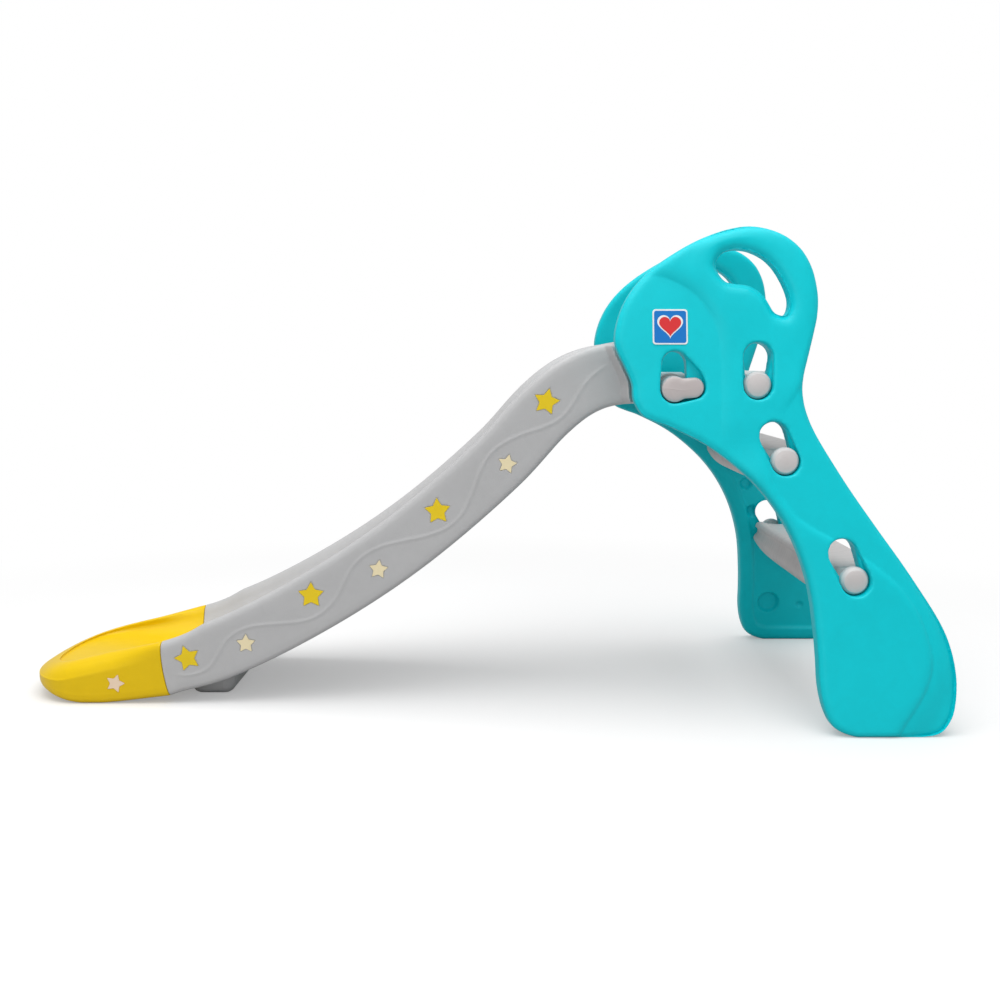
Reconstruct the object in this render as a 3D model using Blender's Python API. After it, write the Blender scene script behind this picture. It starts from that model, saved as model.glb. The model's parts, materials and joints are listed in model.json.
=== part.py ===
"""Folding toddler slide, in metres with +Z up.

Two leaning side panels carry three steps, whose mushroom ends drop into keyholes. The chute hangs between
the panels on a bayonet pivot: each lug has a round shaft and a side lobe, the lobe goes in through the
upper part of its opening, and it locks behind the panel as the chute swings to its working position.
X runs from the foot of the chute (-X) to the ladder (+X), Y runs across, and the floor is Z = 0.
"""

import math

import bmesh
import bpy
from mathutils import Vector

# Overall sizes
PANEL_HEIGHT = 0.725
PANEL_REACH = 0.396
CHUTE_REACH = 1.003
CHUTE_WIDTH = 0.293

# Side panels: outlines are drawn from the pivot axis (x) and the floor (z), and stretched to the sizes above
DRAWN_HEIGHT = 0.725
DRAWN_REACH = 0.396
SPLAY = 0.204
SIDE_CLEARANCE = 0.0145
PANEL_THICK = 0.037
PANEL_EDGE_R = 0.009
HANDLE_EDGE_R = 0.010
PANEL_OUTLINE = [
    (0.112, 0.7250), (0.056, 0.712), (0.006, 0.687), (-0.040, 0.653), (-0.071, 0.612), (-0.085, 0.557),
    (-0.071, 0.522), (-0.060, 0.495), (-0.058, 0.472), (-0.045, 0.450), (-0.008, 0.435), (0.056, 0.402),
    (0.123, 0.344), (0.165, 0.281), (0.190, 0.209), (0.200, 0.127), (0.205, 0.052), (0.221, 0.013),
    (0.252, 0.0), (0.300, 0.0), (0.345, 0.0), (0.372, 0.006), (0.388, 0.026), (0.396, 0.076),
    (0.384, 0.138), (0.338, 0.218), (0.291, 0.286), (0.238, 0.365), (0.194, 0.445), (0.186, 0.490),
    (0.199, 0.549), (0.210, 0.595), (0.2115, 0.624), (0.206, 0.657), (0.190, 0.690), (0.160, 0.714),
]
HANDLE_HOLE = [
    (0.062, 0.668), (0.074, 0.687), (0.105, 0.691), (0.137, 0.677), (0.158, 0.651),
    (0.171, 0.614), (0.164, 0.594), (0.148, 0.598), (0.133, 0.622), (0.110, 0.638), (0.078, 0.643),
]
OUTLINE_STEP = 0.024
HANDLE_STEP = 0.013

# Shallow recess in the inner face of each foot
RECESS_DEPTH = 0.006
FOOT_RECESS = [
    (0.226, 0.150), (0.228, 0.060), (0.245, 0.030), (0.340, 0.028),
    (0.368, 0.050), (0.366, 0.105), (0.330, 0.168), (0.260, 0.175),
]

# Keyholes, where each seat and the hole that its cap goes in by is drawn as the panel outline is
PIVOT = (0.0, 0.488)
PIVOT_ENTRY = (0.001, 0.525)
KEYHOLES = {
    "step_upper": ((0.121, 0.494), (0.122, 0.535)),
    "step_middle": ((0.159, 0.385), (0.143, 0.421)),
    "step_lower": ((0.255, 0.216), (0.238, 0.255)),
}
POCKET_DEPTH = 0.018
ROUND_SEGMENTS = 28

# Steps, with their section drawn from the axis of the caps
NECK_R = 0.0120
CAP_R = 0.0200
CAP_RIM = 0.0130
CAP_DOME = 0.0045
TREAD_FRONT = 0.038
TREAD_REAR = 0.052
TREAD_TOP = 0.019
TREAD_BOTTOM = 0.036
TREAD_EDGE_R = 0.014
TREAD_DISH = 0.003

# Pivot lugs of the chute
SHAFT_R = 0.0193
LOBE_R = 0.0149
LOBE_OFFSET = 0.0290
LOBE_ANGLE = math.radians(4)
LUG_THICK = 0.0150
LUG_DOME = 0.0025
LUG_RAYS = 44
BOSS_WALL = 0.0035
ENTRY_R = 0.0175

# Chute, with the bottom edge of its sides drawn as the panel outline is, in two directions of its own
DRAWN_CHUTE_REACH = 1.003
DRAWN_EDGE_TOP = 0.465
CHUTE_EDGE = [
    (-0.776, 0.012), (-0.678, 0.038), (-0.530, 0.110), (-0.376, 0.210), (-0.222, 0.342),
    (-0.149, 0.421), (-0.110, 0.451), (-0.075, 0.463), (-0.057, 0.4638),
    (-0.038, 0.4644), (-0.019, 0.4648), (0.0, 0.465),
]
PLATFORM_GAP = 0.020
EDGE_BELOW_PIVOT = 0.023
SIDE_HEIGHT = 0.094
SEAM_HEIGHT = 0.085
SEAM_BLEND = 0.110
CHUTE_STATIONS = 26
TROUGH_DEPTH = 0.052
TROUGH_HALF = 0.084
RIM_HALF = 0.0105
UNDERSIDE_RISE = 0.012
SKIRT_WIDTH = 0.024
# Behind the panels' front edges the rims sink to a level platform
RIM_DROP = 0.041
RIM_DROP_FROM = -0.066
RIM_DROP_TO = -0.020

# Yellow end of the chute
END_NOSE = 0.100
END_FLAT = 0.050
END_LIP = 0.042
NOSE_POWER = 2.4
NOSE_RISE = 0.026
END_FALL = 1.75
END_STATIONS = 13

# Joint between chute and end: a tongue in a socket, with screws from below
TONGUE_LENGTH = 0.045
TONGUE_HALF = 0.075
TONGUE_THICK = 0.014
TONGUE_COVER = 0.011
SCREW_R = 0.0025
SCREW_HEAD_R = 0.0050
SCREW_HEAD = 0.0035
SCREW_INSET = 0.024
SCREW_PITCH = 0.100
SCREW_GRIP = 0.005
SCREW_REACH = 0.009

# Foot pads under the chute
FOOT_FRONT = -0.745
FOOT_REAR = -0.678
FOOT_HALF = 0.095
FOOT_RADIUS = 0.016

# Stars and labels
STAR_POINTS = 5
STAR_INNER = 0.52
STAR_THICK = 0.0010
STAR_RECESS = 0.0008
LARGE_STAR_R = 0.0205
SMALL_STAR_R = 0.0150
LARGE_STARS = [(-0.736, 0.073, 18), (-0.543, 0.172, 0), (-0.348, 0.302, 4), (-0.183, 0.468, -13)]
SMALL_STARS = [(-0.645, 0.096, 0), (-0.439, 0.212, -6), (-0.242, 0.374, -13)]
END_STAR = (-0.849, 0.033, -18)
LABEL_PLACE = (-0.006, 0.578)
LABEL_SIZE = 0.051
LABEL_THICK = 0.0008
LABEL_CORNER_R = 0.004

# Gaps
GAP = 0.0003
RUNNING_GAP = 0.0008
CAP_GAP = 0.0015
SEAM_GAP = 0.0006
REACH_PAST = 0.02

COLOURS = {
    "panel": ((0.005, 0.56, 0.62, 1), 0.36),
    "chute": ((0.56, 0.56, 0.58, 1), 0.38),
    "step": ((0.50, 0.47, 0.48, 1), 0.40),
    "end": ((0.87, 0.60, 0.01, 1), 0.36),
    "large_star": ((0.75, 0.55, 0.01, 1), 0.40),
    "small_star": ((0.76, 0.66, 0.42, 1), 0.40),
    "label": ((0.01, 0.19, 0.62, 1), 0.30),
    "screw": ((0.50, 0.50, 0.52, 1), 0.30),
}


def clear_scene():
    for obj in list(bpy.data.objects):
        bpy.data.objects.remove(obj, do_unlink=True)


def material(name, kind):
    colour, roughness = COLOURS[kind]
    made = bpy.data.materials.new(name)
    made.use_nodes = True
    shader = made.node_tree.nodes["Principled BSDF"]
    shader.inputs["Base Color"].default_value = colour
    shader.inputs["Roughness"].default_value = roughness
    shader.inputs["Metallic"].default_value = 1.0 if kind == "screw" else 0.0
    made.diffuse_color = colour
    return made


def smooth_curve(points, step, closed):
    """A centripetal Catmull-Rom curve through the points, in pieces of about one step."""
    count = len(points)
    if closed:
        around = [Vector(points[i % count]) for i in range(-1, count + 2)]
    else:
        ends = [Vector(points[0]) * 2 - Vector(points[1]), Vector(points[-1]) * 2 - Vector(points[-2])]
        around = [ends[0]] + [Vector(p) for p in points] + [ends[1]]
    curve = []
    for a, b, c, d in zip(around, around[1:], around[2:], around[3:]):
        t1 = (b - a).length ** 0.5
        t2 = t1 + (c - b).length ** 0.5
        t3 = t2 + (d - c).length ** 0.5
        pieces = max(1, round((c - b).length / step))
        for i in range(pieces):
            t = t1 + (t2 - t1) * i / pieces
            ab = a.lerp(b, t / t1)
            bc = b.lerp(c, (t - t1) / (t2 - t1))
            cd = c.lerp(d, (t - t2) / (t3 - t2))
            abc = ab.lerp(bc, t / t2)
            bcd = bc.lerp(cd, (t - t1) / (t3 - t1))
            curve.append(abc.lerp(bcd, (t - t1) / (t2 - t1)))
    if not closed:
        curve.append(Vector(points[-1]))
    return curve


def circle(centre, radius, segments=ROUND_SEGMENTS, start=0.0, sweep=2 * math.pi):
    closed = abs(sweep - 2 * math.pi) < 1e-9
    steps = segments if closed else segments - 1
    angles = [start + sweep * i / steps for i in range(segments)]
    return [Vector((centre[0] + radius * math.cos(a), centre[1] + radius * math.sin(a))) for a in angles]


def hull(points):
    """The convex outline round the points, anticlockwise."""
    points = sorted({(round(p[0], 6), round(p[1], 6)) for p in points})

    def half(ordered):
        chain = []
        for p in ordered:
            while len(chain) > 1:
                (ax, ay), (bx, by) = chain[-2], chain[-1]
                if (bx - ax) * (p[1] - ay) - (by - ay) * (p[0] - ax) > 1e-10:
                    break
                chain.pop()
            chain.append(p)
        return chain[:-1]

    return [Vector(p) for p in half(points) + half(points[::-1])]


def rounded_box(left, low, right, high, radius, steps=4):
    """A rectangle with round corners, anticlockwise from its lower right corner."""
    corners = [(right - radius, low + radius, -90), (right - radius, high - radius, 0)]
    corners += [(left + radius, high - radius, 90), (left + radius, low + radius, 180)]
    outline = []
    for x, z, start in corners:
        outline += circle((x, z), radius, steps, math.radians(start), math.radians(90))
    return outline


def area(loop):
    return sum(a[0] * b[1] - b[0] * a[1] for a, b in zip(loop, loop[1:] + loop[:1])) / 2


def into_material(loop, distance):
    """The loop moved to its left, which is inwards for an outline and outwards for a hole."""
    moved = []
    for before, here, after in zip(loop[-1:] + loop[:-1], loop, loop[1:] + loop[:1]):
        along = (after - before).normalized()
        moved.append(here + Vector((-along[1], along[0])) * distance)
    return moved


def drawn_on_panel(point):
    """A point drawn on the panel, in world x and z."""
    x = PIVOT_X + point[0] * PANEL_REACH / DRAWN_REACH
    return Vector((x, point[1] * PANEL_HEIGHT / DRAWN_HEIGHT))


def drawn_on_chute(point):
    """A point drawn on the chute, in world x and z."""
    x = PIVOT_X + point[0] * CHUTE_REACH / DRAWN_CHUTE_REACH
    top = PIVOT_Z - EDGE_BELOW_PIVOT
    return Vector((x, point[1] * top / DRAWN_EDGE_TOP))


def outer_face(z):
    """The panels just clear the chute at the height of its crest, and lean outwards below it."""
    crest = PIVOT_Z - EDGE_BELOW_PIVOT + SIDE_HEIGHT
    return HALF_WIDTH + SIDE_CLEARANCE + PANEL_THICK + SPLAY * (crest - z)


def inner_face(z):
    return outer_face(z) - PANEL_THICK


PANEL_CURVE = smooth_curve(PANEL_OUTLINE, OUTLINE_STEP, True)
PANEL_REAR = max(p[0] for p in PANEL_CURVE) * PANEL_REACH / DRAWN_REACH
PIVOT_X = (CHUTE_REACH - PANEL_REAR) / 2
PIVOT_Z = PIVOT[1] * PANEL_HEIGHT / DRAWN_HEIGHT
SEAM_X = PIVOT_X + CHUTE_EDGE[0][0] * CHUTE_REACH / DRAWN_CHUTE_REACH
NOSE_X = PIVOT_X - CHUTE_REACH
HALF_WIDTH = CHUTE_WIDTH / 2
OVERHANG = drawn_on_panel(KEYHOLES["step_upper"][0])[0] - PIVOT_X - TREAD_FRONT - PLATFORM_GAP
SEAM_LOW = drawn_on_chute(CHUTE_EDGE[0])[1]
TONGUE_HIGH = SEAM_LOW + SEAM_HEIGHT - TROUGH_DEPTH - TONGUE_COVER
TONGUE_LOW = TONGUE_HIGH - TONGUE_THICK
BOSS_R = SHAFT_R + BOSS_WALL


def add_object(bm, name, kind=None):
    """Turns a bmesh into an object. Without a kind of material it is a cutter."""
    bmesh.ops.remove_doubles(bm, verts=bm.verts, dist=1e-6)
    bmesh.ops.recalc_face_normals(bm, faces=bm.faces)
    mesh = bpy.data.meshes.new(name)
    bm.to_mesh(mesh)
    bm.free()
    obj = bpy.data.objects.new(name, mesh)
    bpy.context.scene.collection.objects.link(obj)
    if kind:
        mesh.materials.append(material(name, kind))
        mesh.shade_smooth()
        mesh.set_sharp_from_angle(angle=math.radians(35))
    else:
        obj.hide_render = True
        obj.display_type = "WIRE"
    return obj


def skin(bm, rings, closed=True):
    """Faces between rings of vertices, each ring closed or open."""
    count = len(rings[0])
    for low, high in zip(rings, rings[1:]):
        for i in range(count if closed else count - 1):
            j = (i + 1) % count
            corners = [low[i], low[j], high[j], high[i]]
            if len(set(corners)) > 2:
                bm.faces.new(dict.fromkeys(corners))


def prisms(name, outlines, y_low, y_high, kind=None):
    """Straight solids across the slide, one for each outline in x and z, between two faces given by z."""
    bm = bmesh.new()
    for outline in outlines:
        ends = []
        for y_of in (y_low, y_high):
            ends.append([bm.verts.new((p[0], y_of(p[1]), p[1])) for p in outline])
        skin(bm, ends)
        bm.faces.new(ends[0])
        bm.faces.new(ends[1][::-1])
    return add_object(bm, name, kind)


def turned(name, centre, profile, side, segments=ROUND_SEGMENTS):
    """A solid of revolution about a line along Y, from (radius, y) pairs that start and end on the axis."""
    bm = bmesh.new()
    rings = []
    for radius, y in profile:
        if radius == 0:
            pole = bm.verts.new((centre[0], side * y, centre[1]))
            rings.append([pole] * segments)
            continue
        ring = circle(centre, radius, segments)
        rings.append([bm.verts.new((p[0], side * y, p[1])) for p in ring])
    skin(bm, rings)
    return add_object(bm, name)


def boolean(obj, operation, other):
    modifier = obj.modifiers.new(other.name, "BOOLEAN")
    modifier.operation = operation
    modifier.solver = "EXACT"
    modifier.object = other


def domed_end(radius, y_rim, dome, steps=2):
    """The face of a cap, from its rim to the axis."""
    profile = [(radius, y_rim)]
    for i in range(1, steps + 1):
        angle = math.pi / 2 * i / (steps + 1)
        profile.append((radius * math.cos(angle) ** 0.8, y_rim + dome * math.sin(angle)))
    return profile + [(0, y_rim + dome)]


# Side panels


def pivot_through():
    entry = drawn_on_panel(PIVOT_ENTRY)
    seat = circle((PIVOT_X, PIVOT_Z), SHAFT_R + RUNNING_GAP)
    return hull(seat + circle(entry, ENTRY_R))


def pivot_pocket():
    """Room for the lobe from its working place up to the entry, and for the entry itself."""
    pivot = (PIVOT_X, PIVOT_Z)
    lobe = (PIVOT_X + LOBE_OFFSET * math.cos(LOBE_ANGLE), PIVOT_Z + LOBE_OFFSET * math.sin(LOBE_ANGLE))
    sweep = circle(pivot, LOBE_OFFSET + LOBE_R + CAP_GAP, 16, LOBE_ANGLE, math.pi / 2)
    points = circle(pivot, SHAFT_R + CAP_GAP) + circle(lobe, LOBE_R + CAP_GAP) + sweep
    return hull(points + circle(drawn_on_panel(PIVOT_ENTRY), ENTRY_R + CAP_GAP))


def keyhole_through(keyhole):
    seat, entry = (drawn_on_panel(p) for p in keyhole)
    return hull(circle(seat, NECK_R + RUNNING_GAP) + circle(entry, CAP_R))


def keyhole_pocket(keyhole):
    seat, entry = (drawn_on_panel(p) for p in keyhole)
    return hull(circle(seat, CAP_R + CAP_GAP) + circle(entry, CAP_R + CAP_GAP))


def pocket_floor(seat_z):
    """The level face, across Y, that a cap or a lobe sits against."""
    return outer_face(seat_z) - POCKET_DEPTH


def panel_loops():
    outline = [drawn_on_panel(p) for p in PANEL_CURVE]
    outline = [Vector((p[0], max(p[1], 0.0))) for p in outline]
    handle = [drawn_on_panel(p) for p in smooth_curve(HANDLE_HOLE, HANDLE_STEP, True)]
    loops = []
    for loop, edge_r, wanted in ((outline, PANEL_EDGE_R, 1), (handle, HANDLE_EDGE_R, -1)):
        loops.append((loop if area(loop) * wanted > 0 else loop[::-1], edge_r))
    return loops


def panel_blank(name, side):
    """The leaning plate with its handle hole, and with all its edges rounded."""
    bm = bmesh.new()
    faces_of = {1: [], -1: []}
    half = PANEL_THICK / 2
    for loop, edge_r in panel_loops():
        rings = []
        for inward in (1, -1):
            angles = [90, 45, 0] if inward > 0 else [0, 45, 90]
            for angle in map(math.radians, angles):
                moved = into_material(loop, edge_r * (1 - math.cos(angle)))
                depth = inward * (half - edge_r * (1 - math.sin(angle)))
                ring = []
                for p in moved:
                    z = max(p[1], 0.0)
                    ring.append(bm.verts.new((p[0], side * (outer_face(z) - half + depth), z)))
                rings.append(ring)
        skin(bm, rings)
        faces_of[1].append(rings[0])
        faces_of[-1].append(rings[-1])
    for rings in faces_of.values():
        edges = []
        for ring in rings:
            edges += [bm.edges.get(pair) for pair in zip(ring, ring[1:] + ring[:1])]
        bmesh.ops.triangle_fill(bm, use_beauty=True, use_dissolve=False, edges=edges)
    return add_object(bm, name, "panel")


def cut_panel(panel, side):
    """The keyholes, their pockets and the recess in the foot."""
    tag = panel.name
    outside = outer_face(0) + REACH_PAST

    def across(y_from, y_to):
        return lambda z: side * y_from, lambda z: side * y_to

    through = [keyhole_through(k) for k in KEYHOLES.values()] + [pivot_through()]
    boolean(panel, "DIFFERENCE", prisms(tag + "_through_cutter", through, *across(0.0, outside)))
    pockets = [(name, keyhole_pocket(k), drawn_on_panel(k[0])[1]) for name, k in KEYHOLES.items()]
    pockets.append(("pivot", pivot_pocket(), PIVOT_Z))
    for name, outline, seat_z in pockets:
        cutter = prisms(f"{tag}_{name}_pocket_cutter", [outline], *across(pocket_floor(seat_z), outside))
        boolean(panel, "DIFFERENCE", cutter)
    recess = [drawn_on_panel(p) for p in smooth_curve(FOOT_RECESS, OUTLINE_STEP, True)]
    recess_cutter = prisms(
        tag + "_recess_cutter",
        [recess],
        lambda z: side * (inner_face(z) - REACH_PAST),
        lambda z: side * (inner_face(z) + RECESS_DEPTH),
    )
    boolean(panel, "DIFFERENCE", recess_cutter)


def make_label(name, side):
    place = drawn_on_panel(LABEL_PLACE)
    half = LABEL_SIZE / 2
    low, high = place - Vector((half, half)), place + Vector((half, half))
    outline = rounded_box(low[0], low[1], high[0], high[1], LABEL_CORNER_R)
    prisms(
        name,
        [outline],
        lambda z: side * (outer_face(z) + GAP),
        lambda z: side * (outer_face(z) + GAP + LABEL_THICK),
        "label",
    )


# Steps


def make_step(name, keyhole):
    """A tread between the panels, with a neck and a mushroom cap through the keyhole at each end."""
    seat = drawn_on_panel(keyhole[0])
    left, right = seat[0] - TREAD_FRONT, seat[0] + TREAD_REAR
    low, high = seat[1] - TREAD_BOTTOM, seat[1] + TREAD_TOP
    section = rounded_box(left, low, right, high, TREAD_EDGE_R)
    top_right, top_left = section[7], section[8]
    middle = (top_right + top_left) / 2 - Vector((0, TREAD_DISH))
    section[8:8] = [top_right.lerp(middle, 0.6), middle, top_left.lerp(middle, 0.6)]
    tread = prisms(
        name,
        [section],
        lambda z: -(inner_face(z) - GAP),
        lambda z: inner_face(z) - GAP,
        "step",
    )
    for side, hand in ((-1, "right"), (1, "left")):
        floor = pocket_floor(seat[1]) + GAP
        start = inner_face(seat[1]) - REACH_PAST
        profile = [(0, start), (NECK_R, start), (NECK_R, floor), (CAP_R, floor)]
        profile += domed_end(CAP_R, floor + CAP_RIM, CAP_DOME)
        boolean(tread, "UNION", turned(f"{name}_{hand}_end_shape", seat, profile, side))


# Chute


def trough_section(height, trough, half_width):
    """Half of the chute's section from the trough's middle to the underside's, as (y, depth under the crest)."""
    crest = half_width - RIM_HALF
    squeeze = half_width / HALF_WIDTH
    floor_y = TROUGH_HALF * squeeze
    wall_y = crest - RIM_HALF
    points = [(0.0, trough), (floor_y * 0.6, trough * 0.98), (floor_y, trough * 0.94)]
    points += [(floor_y + (wall_y - floor_y) * 0.55, trough * 0.74), (wall_y - 0.002, trough * 0.32)]
    for angle in (150, 120, 90, 55, 25):
        turn = math.radians(angle)
        points.append((crest + RIM_HALF * math.cos(turn), RIM_HALF * (1 - math.sin(turn))))
    points += [(half_width, RIM_HALF * 1.3), (half_width, height - 0.009), (half_width - 0.003, height - 0.003)]
    points += [(half_width - 0.009, height), (half_width - SKIRT_WIDTH * squeeze, height)]
    inner_skirt = half_width - SKIRT_WIDTH * squeeze - 0.010
    points += [(inner_skirt, height - UNDERSIDE_RISE), (0.0, height - UNDERSIDE_RISE)]
    return points


def mirrored(half_section):
    return half_section + [(-y, depth) for y, depth in half_section[-2:0:-1]]


def smoothstep(t):
    t = min(max(t, 0.0), 1.0)
    return t * t * (3 - 2 * t)


def section_ring(bm, section, foot, up, height):
    """One ring of vertices: foot is the bottom edge, and up is the direction of the section's height."""
    ring = []
    for y, depth in section:
        place = foot + up * (height - depth)
        ring.append(bm.verts.new((place[0], y, place[1])))
    return ring


def chute_frames():
    """The bottom edge point, the up direction, the height and the rim's drop at each station, seam first."""
    edge = [drawn_on_chute(p) for p in CHUTE_EDGE]
    edge.append(edge[-1] + Vector((OVERHANG, 0)))
    drop_from, drop_to = (drawn_on_chute((x, 0))[0] for x in (RIM_DROP_FROM, RIM_DROP_TO))
    length = sum((b - a).length for a, b in zip(edge, edge[1:]))
    curve = smooth_curve(edge, length / CHUTE_STATIONS, False)
    frames = []
    for i, here in enumerate(curve):
        along = (curve[min(i + 1, len(curve) - 1)] - curve[max(i - 1, 0)]).normalized()
        normal = Vector((-along[1], along[0]))
        blend = smoothstep((here[0] - SEAM_X) / SEAM_BLEND)
        up = Vector((0, 1)).lerp(normal, blend).normalized()
        drop = RIM_DROP * smoothstep((here[0] - drop_from) / (drop_to - drop_from))
        frames.append((here, up, SEAM_HEIGHT + (SIDE_HEIGHT - SEAM_HEIGHT) * blend - drop, drop))
    return frames


def end_cap(bm, ring):
    edges = [bm.edges.get(pair) for pair in zip(ring, ring[1:] + ring[:1])]
    bmesh.ops.triangle_fill(bm, use_beauty=True, use_dissolve=False, edges=edges)


def make_chute_body():
    bm = bmesh.new()
    rings = []
    for foot, up, height, drop in chute_frames():
        section = mirrored(trough_section(height, TROUGH_DEPTH - drop, HALF_WIDTH))
        rings.append(section_ring(bm, section, foot, up, height))
    skin(bm, rings)
    end_cap(bm, rings[0])
    end_cap(bm, rings[-1])
    return add_object(bm, "chute_upper", "chute")


def lug_reach(ray):
    """How far the lug's plate reaches from the pivot along a ray: the shaft's circle, and a tongue beside it."""
    off = ray - LOBE_ANGLE
    if math.cos(off) <= 0:
        return SHAFT_R
    if abs(math.tan(off)) > LOBE_R / LOBE_OFFSET:
        return max(SHAFT_R, LOBE_R / abs(math.sin(off)))
    return LOBE_OFFSET * math.cos(off) + math.sqrt(LOBE_R**2 - (LOBE_OFFSET * math.sin(off)) ** 2)


def make_lug(name, side):
    """A boss up to the panel, the round shaft through it, and the domed and lobed plate in the pocket."""
    floor = pocket_floor(PIVOT_Z) + RUNNING_GAP
    face = floor + LUG_THICK
    boss_end = inner_face(PIVOT_Z + BOSS_R) - RUNNING_GAP
    inside = HALF_WIDTH - SKIRT_WIDTH / 2
    layers = [(inside, BOSS_R, 0), (boss_end, BOSS_R, 0), (boss_end, SHAFT_R, 0), (floor, SHAFT_R, 0)]
    layers += [(floor, 1.0, 1), (face, 1.0, 1)]
    layers += [(y, scale, 1) for scale, y in domed_end(1.0, face, LUG_DOME)[1:-1]]
    bm = bmesh.new()
    rays = [2 * math.pi * (i + 0.5) / LUG_RAYS for i in range(LUG_RAYS)]
    start = bm.verts.new((PIVOT_X, side * inside, PIVOT_Z))
    rings = [[start] * LUG_RAYS]
    for y, size, lobed in layers:
        ring = []
        for ray in rays:
            reach = size * lug_reach(ray) if lobed else size
            x = PIVOT_X + reach * math.cos(ray)
            z = PIVOT_Z + reach * math.sin(ray)
            ring.append(bm.verts.new((x, side * y, z)))
        rings.append(ring)
    end = bm.verts.new((PIVOT_X, side * (face + LUG_DOME), PIVOT_Z))
    rings.append([end] * LUG_RAYS)
    skin(bm, rings)
    return add_object(bm, name)


def add_lugs(chute):
    for side, hand in ((-1, "right"), (1, "left")):
        boolean(chute, "UNION", make_lug(f"lug_{hand}_shape", side))


def add_foot(chute):
    """The rounded bar under the chute that stands on the floor."""
    front, rear = drawn_on_chute((FOOT_FRONT, 0))[0], drawn_on_chute((FOOT_REAR, 0))[0]
    edge = [drawn_on_chute(p) for p in CHUTE_EDGE[:3]]
    top = max(p[1] for p in edge[:2]) + UNDERSIDE_RISE
    section = rounded_box(front, 0.0, rear, top + UNDERSIDE_RISE, FOOT_RADIUS)
    foot = prisms("foot_shape", [section], lambda z: -FOOT_HALF, lambda z: FOOT_HALF)
    boolean(chute, "UNION", foot)


def end_frames():
    """Half width, crest height and trough depth of the end at each station, seam first, nose last."""
    frames = []
    straight = SEAM_X - SEAM_GAP
    nose_start = NOSE_X + END_NOSE
    seam_crest = SEAM_LOW + SEAM_HEIGHT
    for i in range(END_STATIONS):
        if i < END_STATIONS // 2:
            x = straight + (nose_start - straight) * i / (END_STATIONS // 2)
            half = HALF_WIDTH
        else:
            turn = math.pi / 2 * (i - END_STATIONS // 2) / (END_STATIONS - 1 - END_STATIONS // 2)
            x = nose_start - END_NOSE * math.sin(turn) ** (2 / NOSE_POWER)
            half = HALF_WIDTH * max(math.cos(turn), 0.0) ** (2 / NOSE_POWER)
        along = (straight - x) / (straight - NOSE_X)
        crest = seam_crest + (END_LIP - seam_crest) * (1 - (1 - along) ** END_FALL)
        trough = TROUGH_DEPTH * (1 - along) ** 1.1
        low = end_bottom(x)
        frames.append((x, max(half, 0.0005), crest, max(trough, 0.0), low))
    return frames


def end_bottom(x):
    """The underside of the end: level in the middle, rising to the seam and, in a round, to the nose."""
    flat_rear = NOSE_X + END_NOSE + END_FLAT / 2
    flat_front = NOSE_X + END_NOSE
    if x > flat_rear:
        return SEAM_LOW * ((x - flat_rear) / (SEAM_X - flat_rear)) ** 1.4
    if x > flat_front:
        return 0.0
    round_in = (flat_front - x) / END_NOSE
    return NOSE_RISE * round_in**1.5


def make_chute_end():
    bm = bmesh.new()
    rings = []
    for x, half, crest, trough, low in end_frames():
        height = crest - low
        rim = min(RIM_HALF, half * 0.45)
        squeeze = half / HALF_WIDTH
        wall = half - 2 * rim
        points = [(0.0, trough), (wall * 0.45, trough * 0.98), (wall * 0.68, trough * 0.94)]
        points += [(wall * 0.86, trough * 0.74), (wall * 0.985, trough * 0.32)]
        for angle in (150, 120, 90, 55, 25):
            turn = math.radians(angle)
            points.append((half - rim + rim * math.cos(turn), rim * (1 - math.sin(turn))))
        side_low = height - 0.009 if height > 0.03 else height * 0.7
        points += [(half, min(rim * 1.3, side_low)), (half, side_low), (half - 0.003 * squeeze, height - 0.003)]
        points += [(half - 0.009 * squeeze, height), (half * 0.5, height), (0.0, height)]
        rings.append(section_ring(bm, mirrored(points), Vector((x, low)), Vector((0, 1)), height))
    skin(bm, rings)
    end_cap(bm, rings[0])
    end_cap(bm, rings[-1])
    return add_object(bm, "chute_end", "end")


def join_end(chute, end):
    """The tongue of the chute, its socket in the end, and the screws that hold them from below."""
    tip = SEAM_X - TONGUE_LENGTH

    def block(name, grow, rear):
        outline = rounded_box(
            tip - grow, TONGUE_LOW - grow, rear, TONGUE_HIGH + grow, min(0.003, TONGUE_LENGTH / 4), 2
        )
        return prisms(name, [outline], lambda z: -TONGUE_HALF - grow, lambda z: TONGUE_HALF + grow)

    boolean(chute, "UNION", block("tongue_shape", 0.0, SEAM_X + REACH_PAST))
    boolean(end, "DIFFERENCE", block("tongue_socket_cutter", GAP, SEAM_X + REACH_PAST))
    rows = (SEAM_X - SEAM_GAP - SCREW_INSET / 2, tip + SCREW_INSET / 2)
    holes = []
    for number, (x, y) in enumerate([(x, y) for x in rows for y in (-SCREW_PITCH / 2, SCREW_PITCH / 2)]):
        seat = TONGUE_LOW - SCREW_GRIP
        top = TONGUE_LOW + SCREW_REACH
        upright("chute_screw_%d" % (number + 1), (x, y), screw_profile(seat, top, 0.0), "screw")
        holes.append(upright("screw_hole_%d_cutter" % (number + 1), (x, y), screw_profile(seat, top, GAP)))
    for hole in holes:
        boolean(chute, "DIFFERENCE", hole)
        boolean(end, "DIFFERENCE", hole)


def screw_profile(seat, top, grow):
    """Head and shank from below, or the counterbored hole for them, which opens downwards."""
    low = seat - SCREW_HEAD if grow == 0 else -REACH_PAST
    profile = [(0, low), (SCREW_HEAD_R + grow, low), (SCREW_HEAD_R + grow, seat + grow)]
    return profile + [(SCREW_R + grow, seat + grow), (SCREW_R + grow, top + grow), (0, top + grow)]


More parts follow.
